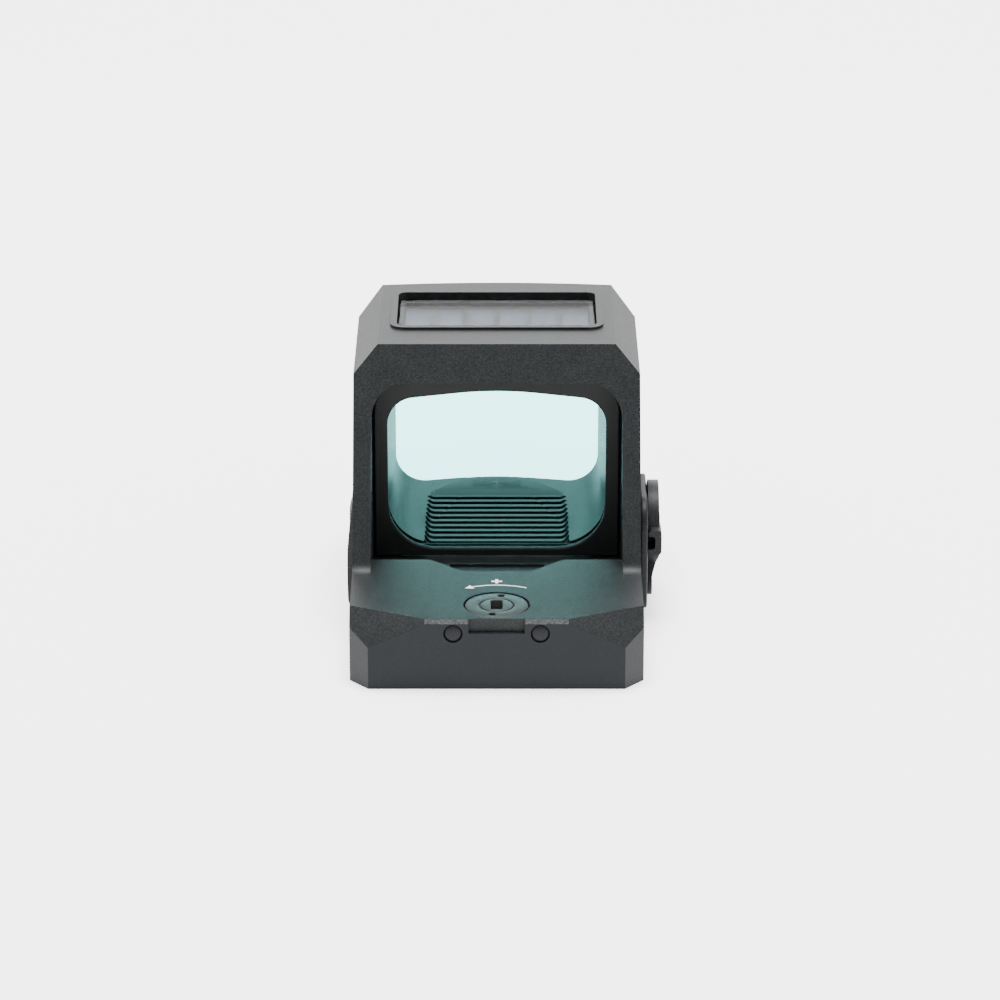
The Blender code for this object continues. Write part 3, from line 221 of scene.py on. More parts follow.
def rounded(corners, steps=12):
    """Points of an outline whose corners (u, v, radius) are turned into arcs."""
    points = []
    for index, (u, v, radius) in enumerate(corners):
        here = Vector((u, v))
        if radius == 0:
            points.append((u, v))
            continue
        back = (Vector(corners[index - 1][:2]) - here).normalized()
        ahead = (Vector(corners[(index + 1) % len(corners)][:2]) - here).normalized()
        half = back.angle(ahead) / 2
        centre = here + (back + ahead).normalized() * (radius / sin(half))
        start = here + back * (radius / tan(half)) - centre
        end = here + ahead * (radius / tan(half)) - centre
        first = atan2(start.y, start.x)
        sweep = (atan2(end.y, end.x) - first + pi) % (2 * pi) - pi
        for step in range(steps + 1):
            angle = first + sweep * step / steps
            points.append((centre.x + radius * cos(angle), centre.y + radius * sin(angle)))
    return points


def rectangle(left, right, low, high, radius=0.0, steps=12):
    corners = [(left, low, radius), (right, low, radius), (right, high, radius), (left, high, radius)]
    return rounded(corners, steps)


def circle(centre, radius, segments=64):
    return [(centre[0] + radius * cos(2 * pi * k / segments),
             centre[1] + radius * sin(2 * pi * k / segments)) for k in range(segments)]


def to_axis(axis, u, v, along):
    return {"X": (along, u, v), "Y": (u, along, v), "Z": (u, v, along)}[axis]


def prism(name, axis, outline, low, high):
    """A solid of a flat outline between two planes; the ends are single faces."""
    work = bmesh.new()
    rings = [[work.verts.new(to_axis(axis, u, v, along)) for u, v in outline] for along in (low, high)]
    for k in range(len(outline)):
        after = (k + 1) % len(outline)
        work.faces.new((rings[0][k], rings[0][after], rings[1][after], rings[1][k]))
    work.faces.new(rings[0])
    work.faces.new(rings[1])
    return finished(name, work)


def cylinder(name, axis, centre, radius, low, high, segments=64):
    return prism(name, axis, circle(centre, radius, segments), low, high)


def loft(name, axis, sections):
    """A solid through outlines that have the same number of points; sections are (outline, along)."""
    work = bmesh.new()
    rings = [[work.verts.new(to_axis(axis, u, v, along)) for u, v in outline]
             for outline, along in sections]
    for first, second in zip(rings, rings[1:]):
        for k in range(len(first)):
            after = (k + 1) % len(first)
            work.faces.new((first[k], first[after], second[after], second[k]))
    work.faces.new(rings[0])
    work.faces.new(rings[-1])
    return finished(name, work)


def lathe(name, axis, centre, profile, segments=96):
    """A turned solid; profile is (radius, along) from the axis out and back to it."""
    work = bmesh.new()
    rings = []
    for radius, along in profile:
        if radius == 0:
            rings.append([work.verts.new(to_axis(axis, centre[0], centre[1], along))])
        else:
            rings.append([work.verts.new(to_axis(axis, u, v, along))
                          for u, v in circle(centre, radius, segments)])
    for first, second in zip(rings, rings[1:]):
        for k in range(segments):
            after = (k + 1) % segments
            corners = [first[k % len(first)], first[after % len(first)],
                       second[after % len(second)], second[k % len(second)]]
            work.faces.new(list(dict.fromkeys(corners)))
    return finished(name, work)


def soft_profile(radius, low, high, edge, steps=4):
    """Profile of a disc from low to high whose upper rim is rounded by edge."""
    points = [(0, low), (radius, low), (radius, high - edge)]
    for step in range(1, steps + 1):
        angle = pi / 2 * step / steps
        points.append((radius - edge + edge * cos(angle), high - edge + edge * sin(angle)))
    points.append((0, high))
    return points


def combine(target, tool, operation="DIFFERENCE"):
    """Adds a Boolean; all of them are applied together by applied()."""
    modifier = target.modifiers.new(tool.name, "BOOLEAN")
    modifier.operation = operation
    modifier.object = tool
    modifier.solver = "EXACT"
    tool["scratch"] = True


def applied(obj):
    """Turns an object's modifiers into its mesh and removes the tools that it used."""
    bpy.context.view_layer.update()
    mesh = bpy.data.meshes.new_from_object(obj.evaluated_get(bpy.context.evaluated_depsgraph_get()))
    tools = [m.object for m in obj.modifiers if m.type == "BOOLEAN"]
    obj.modifiers.clear()
    obj.data = mesh
    for tool in tools:
        bpy.data.objects.remove(tool)
    return obj


def soften(obj, width=EDGE, segments=3, angle=radians(28)):
    """Rounds the sharp edges and keeps the flats flat."""
    obj.data.shade_smooth()
    bevel = obj.modifiers.new("edge", "BEVEL")
    bevel.width = width
    bevel.segments = segments
    bevel.limit_method = "ANGLE"
    bevel.angle_limit = angle
    bevel.use_clamp_overlap = True
    bevel.miter_outer = "MITER_ARC"
    normals = obj.modifiers.new("flats", "WEIGHTED_NORMAL")
    normals.weight = 100
    normals.keep_sharp = False
    return obj


def finish_piece(obj, body, slot, look, *replaced):
    """Names what a piece rides on, its finish and which CAD nodes it stands for."""
    obj.data.materials.clear()
    obj.data.materials.append(look)
    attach(obj, body)
    if replaced:
        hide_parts(*replaced)
    return obj


# ---- Material tools --------------------------------------------------------
def new_look(name):
    made = bpy.data.materials.new(name)
    made.use_nodes = True
    nodes = made.node_tree.nodes
    return made, nodes, made.node_tree.links, nodes["Principled BSDF"]


def noise(nodes, links, coords, scale, detail=3.0, roughness=0.55):
    texture = nodes.new("ShaderNodeTexNoise")
    texture.inputs["Scale"].default_value = scale
    texture.inputs["Detail"].default_value = detail
    texture.inputs["Roughness"].default_value = roughness
    links.new(coords, texture.inputs["Vector"])
    return texture.outputs["Fac"]


def ramp(nodes, links, source, stops):
    """A colour ramp; stops are (position, grey or colour)."""
    made = nodes.new("ShaderNodeValToRGB")
    elements = made.color_ramp.elements
    while len(elements) < len(stops):
        elements.new(0.5)
    for element, (position, colour) in zip(elements, stops):
        element.position = position
        element.color = (*colour, 1) if isinstance(colour, tuple) else (colour, colour, colour, 1)
    links.new(source, made.inputs["Fac"])
    return made.outputs["Color"]


def bump(nodes, links, height, strength, distance):
    made = nodes.new("ShaderNodeBump")
    made.inputs["Strength"].default_value = strength
    made.inputs["Distance"].default_value = distance
    links.new(height, made.inputs["Height"])
    return made.outputs["Normal"]


def object_coords(nodes):
    return nodes.new("ShaderNodeTexCoord").outputs["Object"]


def grained_look(name, dark, light, rough, grain=5200.0, grain_depth=0.02, strength=0.35,
                 specular=0.5, metallic=0.0, blotch=260.0, speckle=0.35):
    """Blasted or moulded surface: two close tones in soft blotches under a fine speckle."""
    made, nodes, links, shader = new_look(name)
    coords = object_coords(nodes)
    tone = noise(nodes, links, coords, blotch, 4.0)
    tones = ramp(nodes, links, tone, ((0.35, dark), (0.7, light)))
    fine = noise(nodes, links, coords, grain, 2.0)
    spots = ramp(nodes, links, fine, ((0.38, 1 - speckle), (0.62, 1.0)))
    mixed = nodes.new("ShaderNodeMix")
    mixed.data_type = "RGBA"
    mixed.blend_type = "MULTIPLY"
    mixed.inputs["Factor"].default_value = 1.0
    links.new(tones, mixed.inputs["A"])
    links.new(spots, mixed.inputs["B"])
    links.new(mixed.outputs["Result"], shader.inputs["Base Color"])
    low, high = rough
    links.new(ramp(nodes, links, fine, ((0.3, low), (0.7, high))), shader.inputs["Roughness"])
    links.new(bump(nodes, links, fine, strength, grain_depth * MM), shader.inputs["Normal"])
    shader.inputs["Metallic"].default_value = metallic
    shader.inputs["Specular IOR Level"].default_value = specular
    return made


def anodised_look(name):
    return grained_look(name, *BLACK_TONES, (0.38, 0.54), grain=7000.0, strength=0.7, specular=0.16,
                        speckle=0.7)


def housing_look():
    """The blasted black finish, left almost without speckle on the flat rear face by fine milling; that
    face is also painted a darker tone, as painted shade.
    """
    made = anodised_look("housing_black")
    nodes, links = made.node_tree.nodes, made.node_tree.links
    split = nodes.new("ShaderNodeSeparateXYZ")
    links.new(object_coords(nodes), split.inputs["Vector"])
    share = nodes.new("ShaderNodeMapRange")
    share.inputs["From Min"].default_value = REAR_Y + 0.02 * MM
    share.inputs["From Max"].default_value = REAR_Y + 0.12 * MM
    share.inputs["To Min"].default_value = 0.2
    share.inputs["To Max"].default_value = 1.0
    links.new(split.outputs["Y"], share.inputs["Value"])
    speckled = next(node for node in nodes if node.bl_idname == "ShaderNodeMix")
    links.new(share.outputs["Result"], speckled.inputs["Factor"])
    # Painted shade: the rear face is blended towards the darker tone.
    rear_face_shade = nodes.new("ShaderNodeMix")
    rear_face_shade.data_type = "RGBA"
    rear_face_shade.inputs["A"].default_value = REAR_FACE_SHADE_TONE
    links.new(share.outputs["Result"], rear_face_shade.inputs["Factor"])
    links.new(speckled.outputs["Result"], rear_face_shade.inputs["B"])
    links.new(rear_face_shade.outputs["Result"], nodes["Principled BSDF"].inputs["Base Color"])
    return made


LOOKS = {}


def make_looks():
    LOOKS["anodised"] = anodised_look("anodised_black")
    LOOKS["housing"] = housing_look()
    LOOKS["inner"] = grained_look("flat_black", (0.0045, 0.006, 0.006), (0.007, 0.009, 0.009),
                                  (0.55, 0.68), specular=0.25)
    LOOKS["steel"] = grained_look("blackened_steel", (0.020, 0.019, 0.019), (0.027, 0.026, 0.026),
                                  (0.36, 0.48), grain=3600.0, grain_depth=0.008, specular=0.25)
    LOOKS["plastic"] = grained_look("black_plastic", (0.012, 0.012, 0.0125), (0.017, 0.017, 0.0175),
                                    (0.5, 0.62))
    LOOKS["rubber"] = grained_look("black_rubber", (0.022, 0.022, 0.023), (0.032, 0.032, 0.033),
                                   (0.7, 0.85), grain=3000.0, specular=0.3)
    LOOKS["blued"] = grained_look("blued_steel", (0.0040, 0.0046, 0.0068), (0.0065, 0.0072, 0.0100),
                                  (0.4, 0.52), grain=3600.0, specular=0.16)
    LOOKS["bare"] = grained_look("bare_aluminium", (0.022, 0.023, 0.024), (0.06, 0.062, 0.064),
                                 (0.35, 0.55), grain=7000.0, grain_depth=0.03, strength=0.6,
                                 metallic=0.85, blotch=5200.0)
    LOOKS["paint"] = grained_look("white_paint", (0.78, 0.79, 0.79), (0.86, 0.87, 0.87), (0.45, 0.6),
                                  grain=9000.0, grain_depth=0.01)
    LOOKS["brass"] = grained_look("turned_brass", (0.55, 0.38, 0.16), (0.66, 0.48, 0.22), (0.25, 0.4),
                                  metallic=1.0)
    LOOKS["nickel"] = grained_look("nickel_plate", (0.55, 0.54, 0.51), (0.64, 0.63, 0.60), (0.2, 0.34),
                                   metallic=1.0)
    LOOKS["circuit"] = grained_look("solder_mask", (0.012, 0.075, 0.03), (0.02, 0.11, 0.045), (0.3, 0.42),
                                    blotch=900.0)
    LOOKS["board"] = grained_look("pale_laminate", (0.075, 0.075, 0.07), (0.10, 0.10, 0.09), (0.5, 0.65),
                                  specular=0.12)
    LOOKS["emitter"] = grained_look("red_epoxy", (0.5, 0.02, 0.015), (0.62, 0.04, 0.02), (0.12, 0.2))
    LOOKS["lens"] = lens_look()
    LOOKS["glass"] = glass_look()
    LOOKS["silicon"] = silicon_look()


def lens_look():
    """Clear glass with the teal cast of a reflex coating, a little stronger in soft patches."""
    made, nodes, links, shader = new_look("coated_lens")
    coords = object_coords(nodes)
    patches = noise(nodes, links, coords, 60.0, 1.0)
    links.new(ramp(nodes, links, patches, ((0.3, (0.38, 0.99, 0.97)), (0.7, (0.41, 1.0, 0.98)))),
              shader.inputs["Base Color"])
    shader.inputs["Roughness"].default_value = 0.0
    shader.inputs["Transmission Weight"].default_value = 1.0
    shader.inputs["IOR"].default_value = 1.28
    return made


def glass_look():
    made, nodes, links, shader = new_look("cover_glass")
    coords = object_coords(nodes)
    smear = noise(nodes, links, coords, 300.0, 3.0)
    links.new(ramp(nodes, links, smear, ((0.3, 0.02), (0.75, 0.09))), shader.inputs["Roughness"])
    shader.inputs["Base Color"].default_value = (0.97, 0.985, 0.99, 1)
    shader.inputs["Transmission Weight"].default_value = 1.0
    shader.inputs["IOR"].default_value = 1.05
    return made


def silicon_look():
    """Blue-grey wafer with fine collector fingers across it."""
    made, nodes, links, shader = new_look("silicon_wafer")
    coords = object_coords(nodes)
    stripes = nodes.new("ShaderNodeTexWave")
    stripes.bands_direction = "Y"
    stripes.inputs["Scale"].default_value = 420.0
    stripes.inputs["Distortion"].default_value = 0.0
    links.new(coords, stripes.inputs["Vector"])
    colour = ramp(nodes, links, stripes.outputs["Fac"],
                  ((0.86, (0.018, 0.036, 0.066)), (0.95, (0.045, 0.06, 0.085))))
    links.new(colour, shader.inputs["Base Color"])
    tone = noise(nodes, links, coords, 900.0, 3.0)
    links.new(ramp(nodes, links, tone, ((0.3, 0.3), (0.7, 0.45))), shader.inputs["Roughness"])
    shader.inputs["Specular IOR Level"].default_value = 0.12
    return made


# ---- Housing ---------------------------------------------------------------
def block_above(name, first, second, third, size):
    """A large block resting on the plane through three points, on its upper side."""
    a, b, c = Vector(first), Vector(second), Vector(third)
    normal = (b - a).cross(c - a).normalized()
    if normal.z < 0:
        normal = -normal
    side = (b - a).normalized()
    turn = Matrix((side, normal.cross(side), normal)).transposed().to_4x4()
    work = bmesh.new()
    bmesh.ops.create_cube(work, size=size)
    bmesh.ops.translate(work, vec=(0, 0, size / 2), verts=work.verts)
    bmesh.ops.transform(work, matrix=Matrix.Translation(a) @ turn, verts=work.verts)
    return finished(name, work)


def housing_block():
    """The body's side outline, cut to its plan, its front outline and the two corner facets."""
    side = rounded([
        (REAR_Y, 0, 0), (FRONT_Y + MM, 0, 0), (FRONT_Y + MM, TOP_Z, 0), (HOOD_Y, TOP_Z, 0),
        (FOOT_Y, DECK_Z, FOOT_FILLET), (REAR_Y + REAR_CHAMFER, DECK_Z, 0),
        (REAR_Y, DECK_Z - REAR_CHAMFER, 0)])
    block = prism("housing_body", "X", side, -HALF_WIDTH, HALF_WIDTH)
    bow = FRONT_Y - FRONT_CORNER_Y
    bow_steps = 24
    front = []
    for step in range(bow_steps + 1):
        across = 1 - 2 * step / bow_steps
        front.append((SHOULDER_X * across, FRONT_Y - bow * across ** 2))
    side_front = FRONT_CORNER_Y - (HALF_WIDTH - SHOULDER_X)
    margin = MM
    plan = [(-CORNER_X, REAR_Y), (CORNER_X, REAR_Y), (HALF_WIDTH, CORNER_Y), (HALF_WIDTH, side_front)]
    plan += front + [(-HALF_WIDTH, side_front), (-HALF_WIDTH, CORNER_Y)]
    combine(block, prism("plan_tool", "Z", plan, -margin, TOP_Z + margin), "INTERSECT")
    face = [(-HALF_WIDTH, -margin), (HALF_WIDTH, -margin), (HALF_WIDTH, SHOULDER_Z),
            (SHOULDER_X, TOP_Z), (-SHOULDER_X, TOP_Z), (-HALF_WIDTH, SHOULDER_Z)]
    combine(block, prism("front_tool", "Y", face, REAR_Y - margin, FRONT_Y + margin), "INTERSECT")
    for hand in (-1, 1):
        corners = [(hand * x, y, z) for x, y, z in (FACET_REAR, FACET_CORNER, FACET_SIDE)]
        combine(block, block_above(f"facet_tool_{hand}", *corners, size=2 * HALF_WIDTH))
    return block


def ramp_tool():
    """What is cut over the ramp: level lands with grooves between them, sweeping up at both ends."""
    start, end = Vector(RAMP_START), Vector(RAMP_END)
    roof = RAMP_RUNOUT[1] + 3 * MM
    profile = [(start.x, roof)]
    for number in range(RAMP_GROOVES):
        near = start.lerp(end, number / RAMP_GROOVES)
        land = start.lerp(end, (number + GROOVE_SHARE) / RAMP_GROOVES)
        far = start.lerp(end, (number + 1) / RAMP_GROOVES)
        floor = near.y - GROOVE_DEPTH
        soft = 0.1 * MM
        profile += [(near.x, floor), (land.x - soft, floor), (land.x, floor + soft),
                    (land.x, near.y - soft), (land.x + soft, near.y), (far.x - 0.3 * soft, near.y)]
    profile += [RAMP_RUNOUT, (RAMP_RUNOUT[0], roof)]
    sweep, lift = RAMP_SWEEP
    bend_steps = 8
    stations = []
    for step in range(bend_steps + 1):
        bend = step / bend_steps * pi / 2
        stations.append((RAMP_X - sweep + sweep * sin(bend), lift * (1 - cos(bend))))
    sections = []
    for x, rise in [(-x, rise) for x, rise in reversed(stations)] + stations:
        outline = [(y, z if z == roof else z + rise) for y, z in profile]
        sections.append((outline, x))
    return loft("ramp_tool", "X", sections)


def tunnel_outline(sizes, low_radius):
    side, low, hump, top = sizes
    return rounded([(-side, low, low_radius), (0, hump, TUNNEL_HUMP_RADIUS), (side, low, low_radius),
                    (side, top, TUNNEL_TOP_RADIUS), (-side, top, TUNNEL_TOP_RADIUS)])


def cut_window(block):
    """Recess and well for the lens and its frame, the deck's notch and step, the tunnel and its ramp."""
    recess = rounded([(-RECESS_X, DECK_Z, 0), (RECESS_X, DECK_Z, 0), (RECESS_X, RECESS_TOP, RECESS_RADIUS),
                      (-RECESS_X, RECESS_TOP, RECESS_RADIUS)])
    combine(block, prism("recess_tool", "Y", recess, FOOT_Y - 3 * MM, LEDGE_Y))
    well = [(-RECESS_X, DECK_EDGE_Y), (RECESS_X, DECK_EDGE_Y), (RECESS_X, LEDGE_Y), (-RECESS_X, LEDGE_Y)]
    combine(block, prism("well_tool", "Z", well, WELL_Z, DECK_Z + MM))
    notch = [(-NOTCH_REAR_X, NOTCH_REAR_Y), (NOTCH_REAR_X, NOTCH_REAR_Y),
             (NOTCH_FRONT_X, DECK_EDGE_Y + 0.05 * MM), (-NOTCH_FRONT_X, DECK_EDGE_Y + 0.05 * MM)]
    combine(block, prism("notch_tool", "Z", notch, NOTCH_Z, DECK_Z + MM))
    step = rectangle(-STEP_X, STEP_X, DECK_EDGE_Y, STEP_Y)
    combine(block, prism("step_tool", "Z", step, STEP_Z, WELL_Z + MM))
    combine(block, loft("tunnel_tool", "Y", [
        (tunnel_outline(FLARE, FLARE_LOW_RADIUS), LEDGE_Y - 0.05 * MM),
        (tunnel_outline(THROAT, THROAT_LOW_RADIUS), THROAT_Y),
        (tunnel_outline(TUNNEL, THROAT_LOW_RADIUS), FRONT_Y + MM)]))
    combine(block, ramp_tool())


def cut_panel_seat(block):
    left, right = WINDOW_LOW[0] - PANEL_GAP, WINDOW_HIGH[0] + PANEL_GAP
    near, far = WINDOW_LOW[1] - PANEL_GAP, WINDOW_HIGH[1] + PANEL_GAP
    rim = rectangle(left - BEZEL_WIDE, right + BEZEL_WIDE, near - BEZEL_WIDE, far + BEZEL_WIDE,
                    PANEL_RADIUS + BEZEL_WIDE)
    combine(block, prism("bezel_tool", "Z", rim, TOP_Z - MM, BEZEL_Z), "UNION")
    combine(block, prism("panel_tool", "Z", rectangle(left, right, near, far, PANEL_RADIUS), PANEL_FLOOR,
                         TOP_Z + MM))


def cut_bores(block):
    """Seats and bores of the two screws, the electronics cavity and the emitter's channel."""
    gap = 0.15 * MM
    cavity = rectangle(-CAVITY_X, CAVITY_X, CAVITY_REAR, CAVITY_FRONT)
    combine(block, prism("cavity_tool", "Z", cavity, -MM, CAVITY_TOP))
    channel = rectangle(-CHANNEL_X, CHANNEL_X, CHANNEL_REAR, CAVITY_FRONT)
    combine(block, prism("channel_tool", "Z", channel, MM, CHANNEL_TOP))
    combine(block, cylinder("beam_tool", "Y", (0, EMITTER_Z), BEAM_RADIUS, CAVITY_FRONT - 0.5 * MM,
                            NOTCH_REAR_Y + 0.5 * MM, 32))
    across = (0, ELEVATION_Y)
    seat = (SCREW_HIGH[0] - SCREW_LOW[0]) / 2 + gap
    combine(block, cylinder("elevation_seat_tool", "Z", across, seat, ELEVATION_SEAT, DECK_Z + MM, 96))
    combine(block, cylinder("elevation_bore_tool", "Z", across, ELEVATION_BORE_RADIUS, CAVITY_TOP - MM,
                            ELEVATION_SEAT + MM, 48))
    place = middle_of(WINDAGE_LOW, WINDAGE_HIGH)
    radius = (WINDAGE_HIGH[2] - WINDAGE_LOW[2]) / 2 + gap
    combine(block, cylinder("windage_seat_tool", "X", place, radius, WINDAGE_SEAT, HALF_WIDTH + MM, 96))
    combine(block, cylinder("windage_bore_tool", "X", place, WINDAGE_BORE_RADIUS, CAVITY_X - 1.3 * MM,
                            WINDAGE_SEAT + MM, 48))


def side_outline(low, high, grow=0.0, steps=20):
    """Outline of the door or the keypad, whose lower corners are tighter; low and high are a box."""
    near, far, bottom, top = low[1] - grow, high[1] + grow, low[2] - grow, high[2] + grow
    low_radius, high_radius = (radius + grow for radius in SIDE_RADII)
    return rounded([(near, bottom, low_radius), (far, bottom, low_radius), (far, top, high_radius),
                    (near, top, high_radius)], steps)


def middle_of(low, high):
    """Middle of a box, as Y and Z."""
    return ((low[1] + high[1]) / 2, (low[2] + high[2]) / 2)


def cut_sides(block):
    """The drawer's slot, the door seal's pocket, the latch pin's hole and the keypad's seat."""
    gap = 0.2 * MM
    slot = rectangle(DRAWER_LOW[1] - gap, DRAWER_HIGH[1] + gap, DRAWER_LOW[2] - gap, DRAWER_HIGH[2] + gap)
    combine(block, prism("drawer_tool", "X", slot, DRAWER_LOW[0] - 0.6 * MM, HALF_WIDTH + MM))
    pocket = side_outline(DOOR_LOW, DOOR_HIGH, -0.4 * MM)
    combine(block, prism("seal_tool", "X", pocket, SEAL_FLOOR_X, HALF_WIDTH + MM))
    hole = middle_of(PIN_LOW, PIN_HIGH)
    combine(block, cylinder("latch_hole_tool", "X", hole, LATCH_HOLE_RADIUS, PIN_LOW[0] - 0.25 * MM,
                            LATCH_HOLE_END))
    floor = KEYPAD_HIGH[0] + gap
    seat = side_outline(KEYPAD_LOW, KEYPAD_HIGH, gap)
    combine(block, prism("keypad_tool", "X", seat, -HALF_WIDTH - MM, floor))
    for label in ("plus", "minus"):
        place = middle_of(*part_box("switch_" + label))
        combine(block, cylinder("switch_tool_" + label, "X", place, SWITCH_HOLE_RADIUS, floor - MM,
                                floor + 0.6 * MM))


def cut_rear(block):
    """The aiming notch and the seats of the two dots."""
    z = (DOT_LOW[2] + DOT_HIGH[2]) / 2
    notch = rectangle(-AIM_NOTCH_X, AIM_NOTCH_X, REAR_Y - MM, REAR_Y + AIM_NOTCH_DEPTH)
    combine(block, prism("aiming_notch_tool", "Z", notch, z, DECK_Z + MM))
    radius = (DOT_HIGH[0] - DOT_LOW[0]) / 2 + 0.04 * MM
    x = (DOT_LOW[0] + DOT_HIGH[0]) / 2
    for hand in (-1, 1):
        combine(block, cylinder(f"dot_tool_{hand}", "Y", (hand * x, z), radius, REAR_Y - MM,
                                REAR_Y + 1.5 * MM))


def cut_underside(block):
    """The cover's pocket and threads, and the mounting bores and locating sockets."""
    gap = 0.2 * MM
    pocket = rectangle(COVER_LOW[0] - gap, COVER_HIGH[0] + gap, COVER_LOW[1] - gap, COVER_HIGH[1] + gap, MM)
    combine(block, prism("cover_tool", "Z", pocket, -MM, COVER_HIGH[2] + 0.7 * MM))
    for hand in (-1, 1):
        for label, (y, radius, deep) in (("bore_tool", MOUNT_BORE), ("lug_tool", MOUNT_SOCKET)):
            combine(block, cylinder(f"{label}_{hand}", "Z", (hand * MOUNT_X, y), radius, -MM, deep, 48))
    for number in range(1, COVER_SCREWS + 1):
        place = cover_screw_place(number)
        combine(block, cylinder(f"thread_tool_{number}", "Z", place, THREAD_RADIUS, MM, THREAD_TOP, 32))


def cover_screw_place(number):
    low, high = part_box(f"cover_screw_{number}")
    return ((low[0] + high[0]) / 2, (low[1] + high[1]) / 2)


def make_housing():
    block = housing_block()
    cut_window(block)
    cut_panel_seat(block)
    cut_bores(block)
    cut_sides(block)
    cut_rear(block)
    cut_underside(block)
    applied(block)
    soften(block)
    finish_piece(block, "root", "anodised", LOOKS["housing"], "housing")


# ---- Optics ----------------------------------------------------------------
def opening_outline(steps=16):
    low, shoulder, top = OPENING_HEIGHTS
    low_radius, shoulder_radius, top_radius = OPENING_RADII
    return rounded([(-OPENING_X, low, low_radius), (OPENING_X, low, low_radius),
                    (OPENING_X, shoulder, shoulder_radius), (0, top, top_radius),
                    (-OPENING_X, shoulder, shoulder_radius)], steps)


def make_retainer():
    low, high = RETAINER_LOW, RETAINER_HIGH
    outer = rounded([(low[0], low[2], 0), (high[0], low[2], 0), (high[0], high[2], RECESS_RADIUS),
                     (low[0], high[2], RECESS_RADIUS)])
    ring = prism("lens_frame", "Y", outer, low[1], high[1])
    combine(ring, prism("opening_tool", "Y", opening_outline(), low[1] - MM, high[1] + MM))
    applied(ring)
    soften(ring, 0.16 * MM)
    finish_piece(ring, "root", "black_plastic", LOOKS["inner"], "lens_retainer")


def make_lens():
    """A slab whose two faces are shallow curves bowed towards the target."""
    low, high = LENS_LOW, LENS_HIGH
    middle = Vector(((low[0] + high[0]) / 2, (low[2] + high[2]) / 2))
    outline = rounded([(low[0], low[2], 3 * MM), (high[0], low[2], 3 * MM), (high[0], high[2], 3.2 * MM),
                       (low[0], high[2], 3.2 * MM)], 10)
    edge_reach = max((Vector(point) - middle).length for point in outline)
    count = len(outline)
    work = bmesh.new()

    def height(reach):
        return sqrt(LENS_CURVE ** 2 - reach ** 2) - sqrt(LENS_CURVE ** 2 - edge_reach ** 2)

    def surface(base):
        """One bowed face, whose outer edge lies at base; gives back the edge's corners."""
        rings = []
        for ring in range(1, LENS_RINGS + 1):
            share = ring / LENS_RINGS
            row = []
            for u, v in outline:
                point = middle.lerp(Vector((u, v)), share)
                y = base + height((point - middle).length)
                row.append(work.verts.new((point.x, y, point.y)))
            rings.append(row)
        centre = work.verts.new((middle.x, base + height(0), middle.y))
        for k in range(count):
            work.faces.new((centre, rings[0][k], rings[0][(k + 1) % count]))
            for first, second in zip(rings, rings[1:]):
                after = (k + 1) % count
                work.faces.new((first[k], second[k], second[after], first[after]))
        return rings[-1]

    near = surface(low[1])
    far = surface(high[1] - LENS_BOW)
    for k in range(count):
        after = (k + 1) % count
        work.faces.new((near[k], near[after], far[after], far[k]))
    lens = finished("reflex_lens", work)
    lens.data.shade_smooth()
    lens.data.set_sharp_from_angle(angle=radians(30))
    finish_piece(lens, "root", "lens", LOOKS["lens"], "lens")


# ---- Screws ----------------------------------------------------------------
def make_elevation_screw():
    """A dial with a fine ring groove, a socket and two spanner holes, on its stem."""
    top = SCREW_HIGH[2]
    across = (0, ELEVATION_Y)
    radius = (SCREW_HIGH[0] - SCREW_LOW[0]) / 2
    inner_edge, inner_wall, outer_wall, outer_edge = DIAL_GROOVE
    lip, groove_floor = top - 0.05 * MM, top - 0.16 * MM
    head = lathe("elevation_dial", "Z", across, [
        (0, top - DIAL_THICK), (radius, top - DIAL_THICK), (radius, top - 0.12 * MM),
        (radius - 0.03 * MM, top - 0.04 * MM), (radius - 0.12 * MM, top),
        (outer_edge, top), (outer_wall, lip), (outer_wall, groove_floor),
        (inner_wall, groove_floor), (inner_wall, lip), (inner_edge, top), (0, top)], 128)
    wide, long, deep = DIAL_SOCKET
    socket = rectangle(-wide, wide, ELEVATION_Y - long, ELEVATION_Y + long, 0.3 * MM)
    combine(head, prism("socket_tool", "Z", socket, top - deep, top + MM))
    hole_x, hole_y, hole_radius, hole_deep = SPANNER_HOLE
    for hand in (-1, 1):
        place = (hand * hole_x, ELEVATION_Y + hand * hole_y)
        combine(head, cylinder(f"spanner_tool_{hand}", "Z", place, hole_radius, top - hole_deep,
                               top + MM, 32))
    applied(head)
    soften(head, 0.03 * MM, 2)
    shank = cylinder("elevation_stem", "Z", across, 1.2 * MM, SCREW_LOW[2], top - 1.2 * MM, 48)
    soften(shank, 0.05 * MM, 2)
    finish_piece(head, "elevation_adjuster", "steel", LOOKS["steel"], "elevation_screw")
    finish_piece(shank, "elevation_adjuster", "steel", LOOKS["steel"])


def make_windage_screw():
    """A plain dial with a coin slot, on its stem."""
    outer = WINDAGE_HIGH[0]
    place = middle_of(WINDAGE_LOW, WINDAGE_HIGH)
    radius = (WINDAGE_HIGH[2] - WINDAGE_LOW[2]) / 2
    head = lathe("windage_dial", "X", place, [
        (0, outer - WINDAGE_THICK), (radius, outer - WINDAGE_THICK), (radius, outer - 0.1 * MM),
        (radius - 0.1 * MM, outer), (0, outer)], 96)
    y, z = place
    long, thin, deep = WINDAGE_SLOT
    slot = rectangle(y - long, y + long, z - thin, z + thin, thin / 2, 6)
    combine(head, prism("windage_slot_tool", "X", slot, outer - deep, outer + MM))
    applied(head)
    soften(head, 0.03 * MM, 2)
    stem = cylinder("windage_stem", "X", place, 0.7 * MM, WINDAGE_LOW[0], outer - 1.1 * MM, 40)
    soften(stem, 0.05 * MM, 2)
    finish_piece(head, "windage_adjuster", "steel", LOOKS["steel"], "windage_screw")
    finish_piece(stem, "windage_adjuster", "steel", LOOKS["steel"])


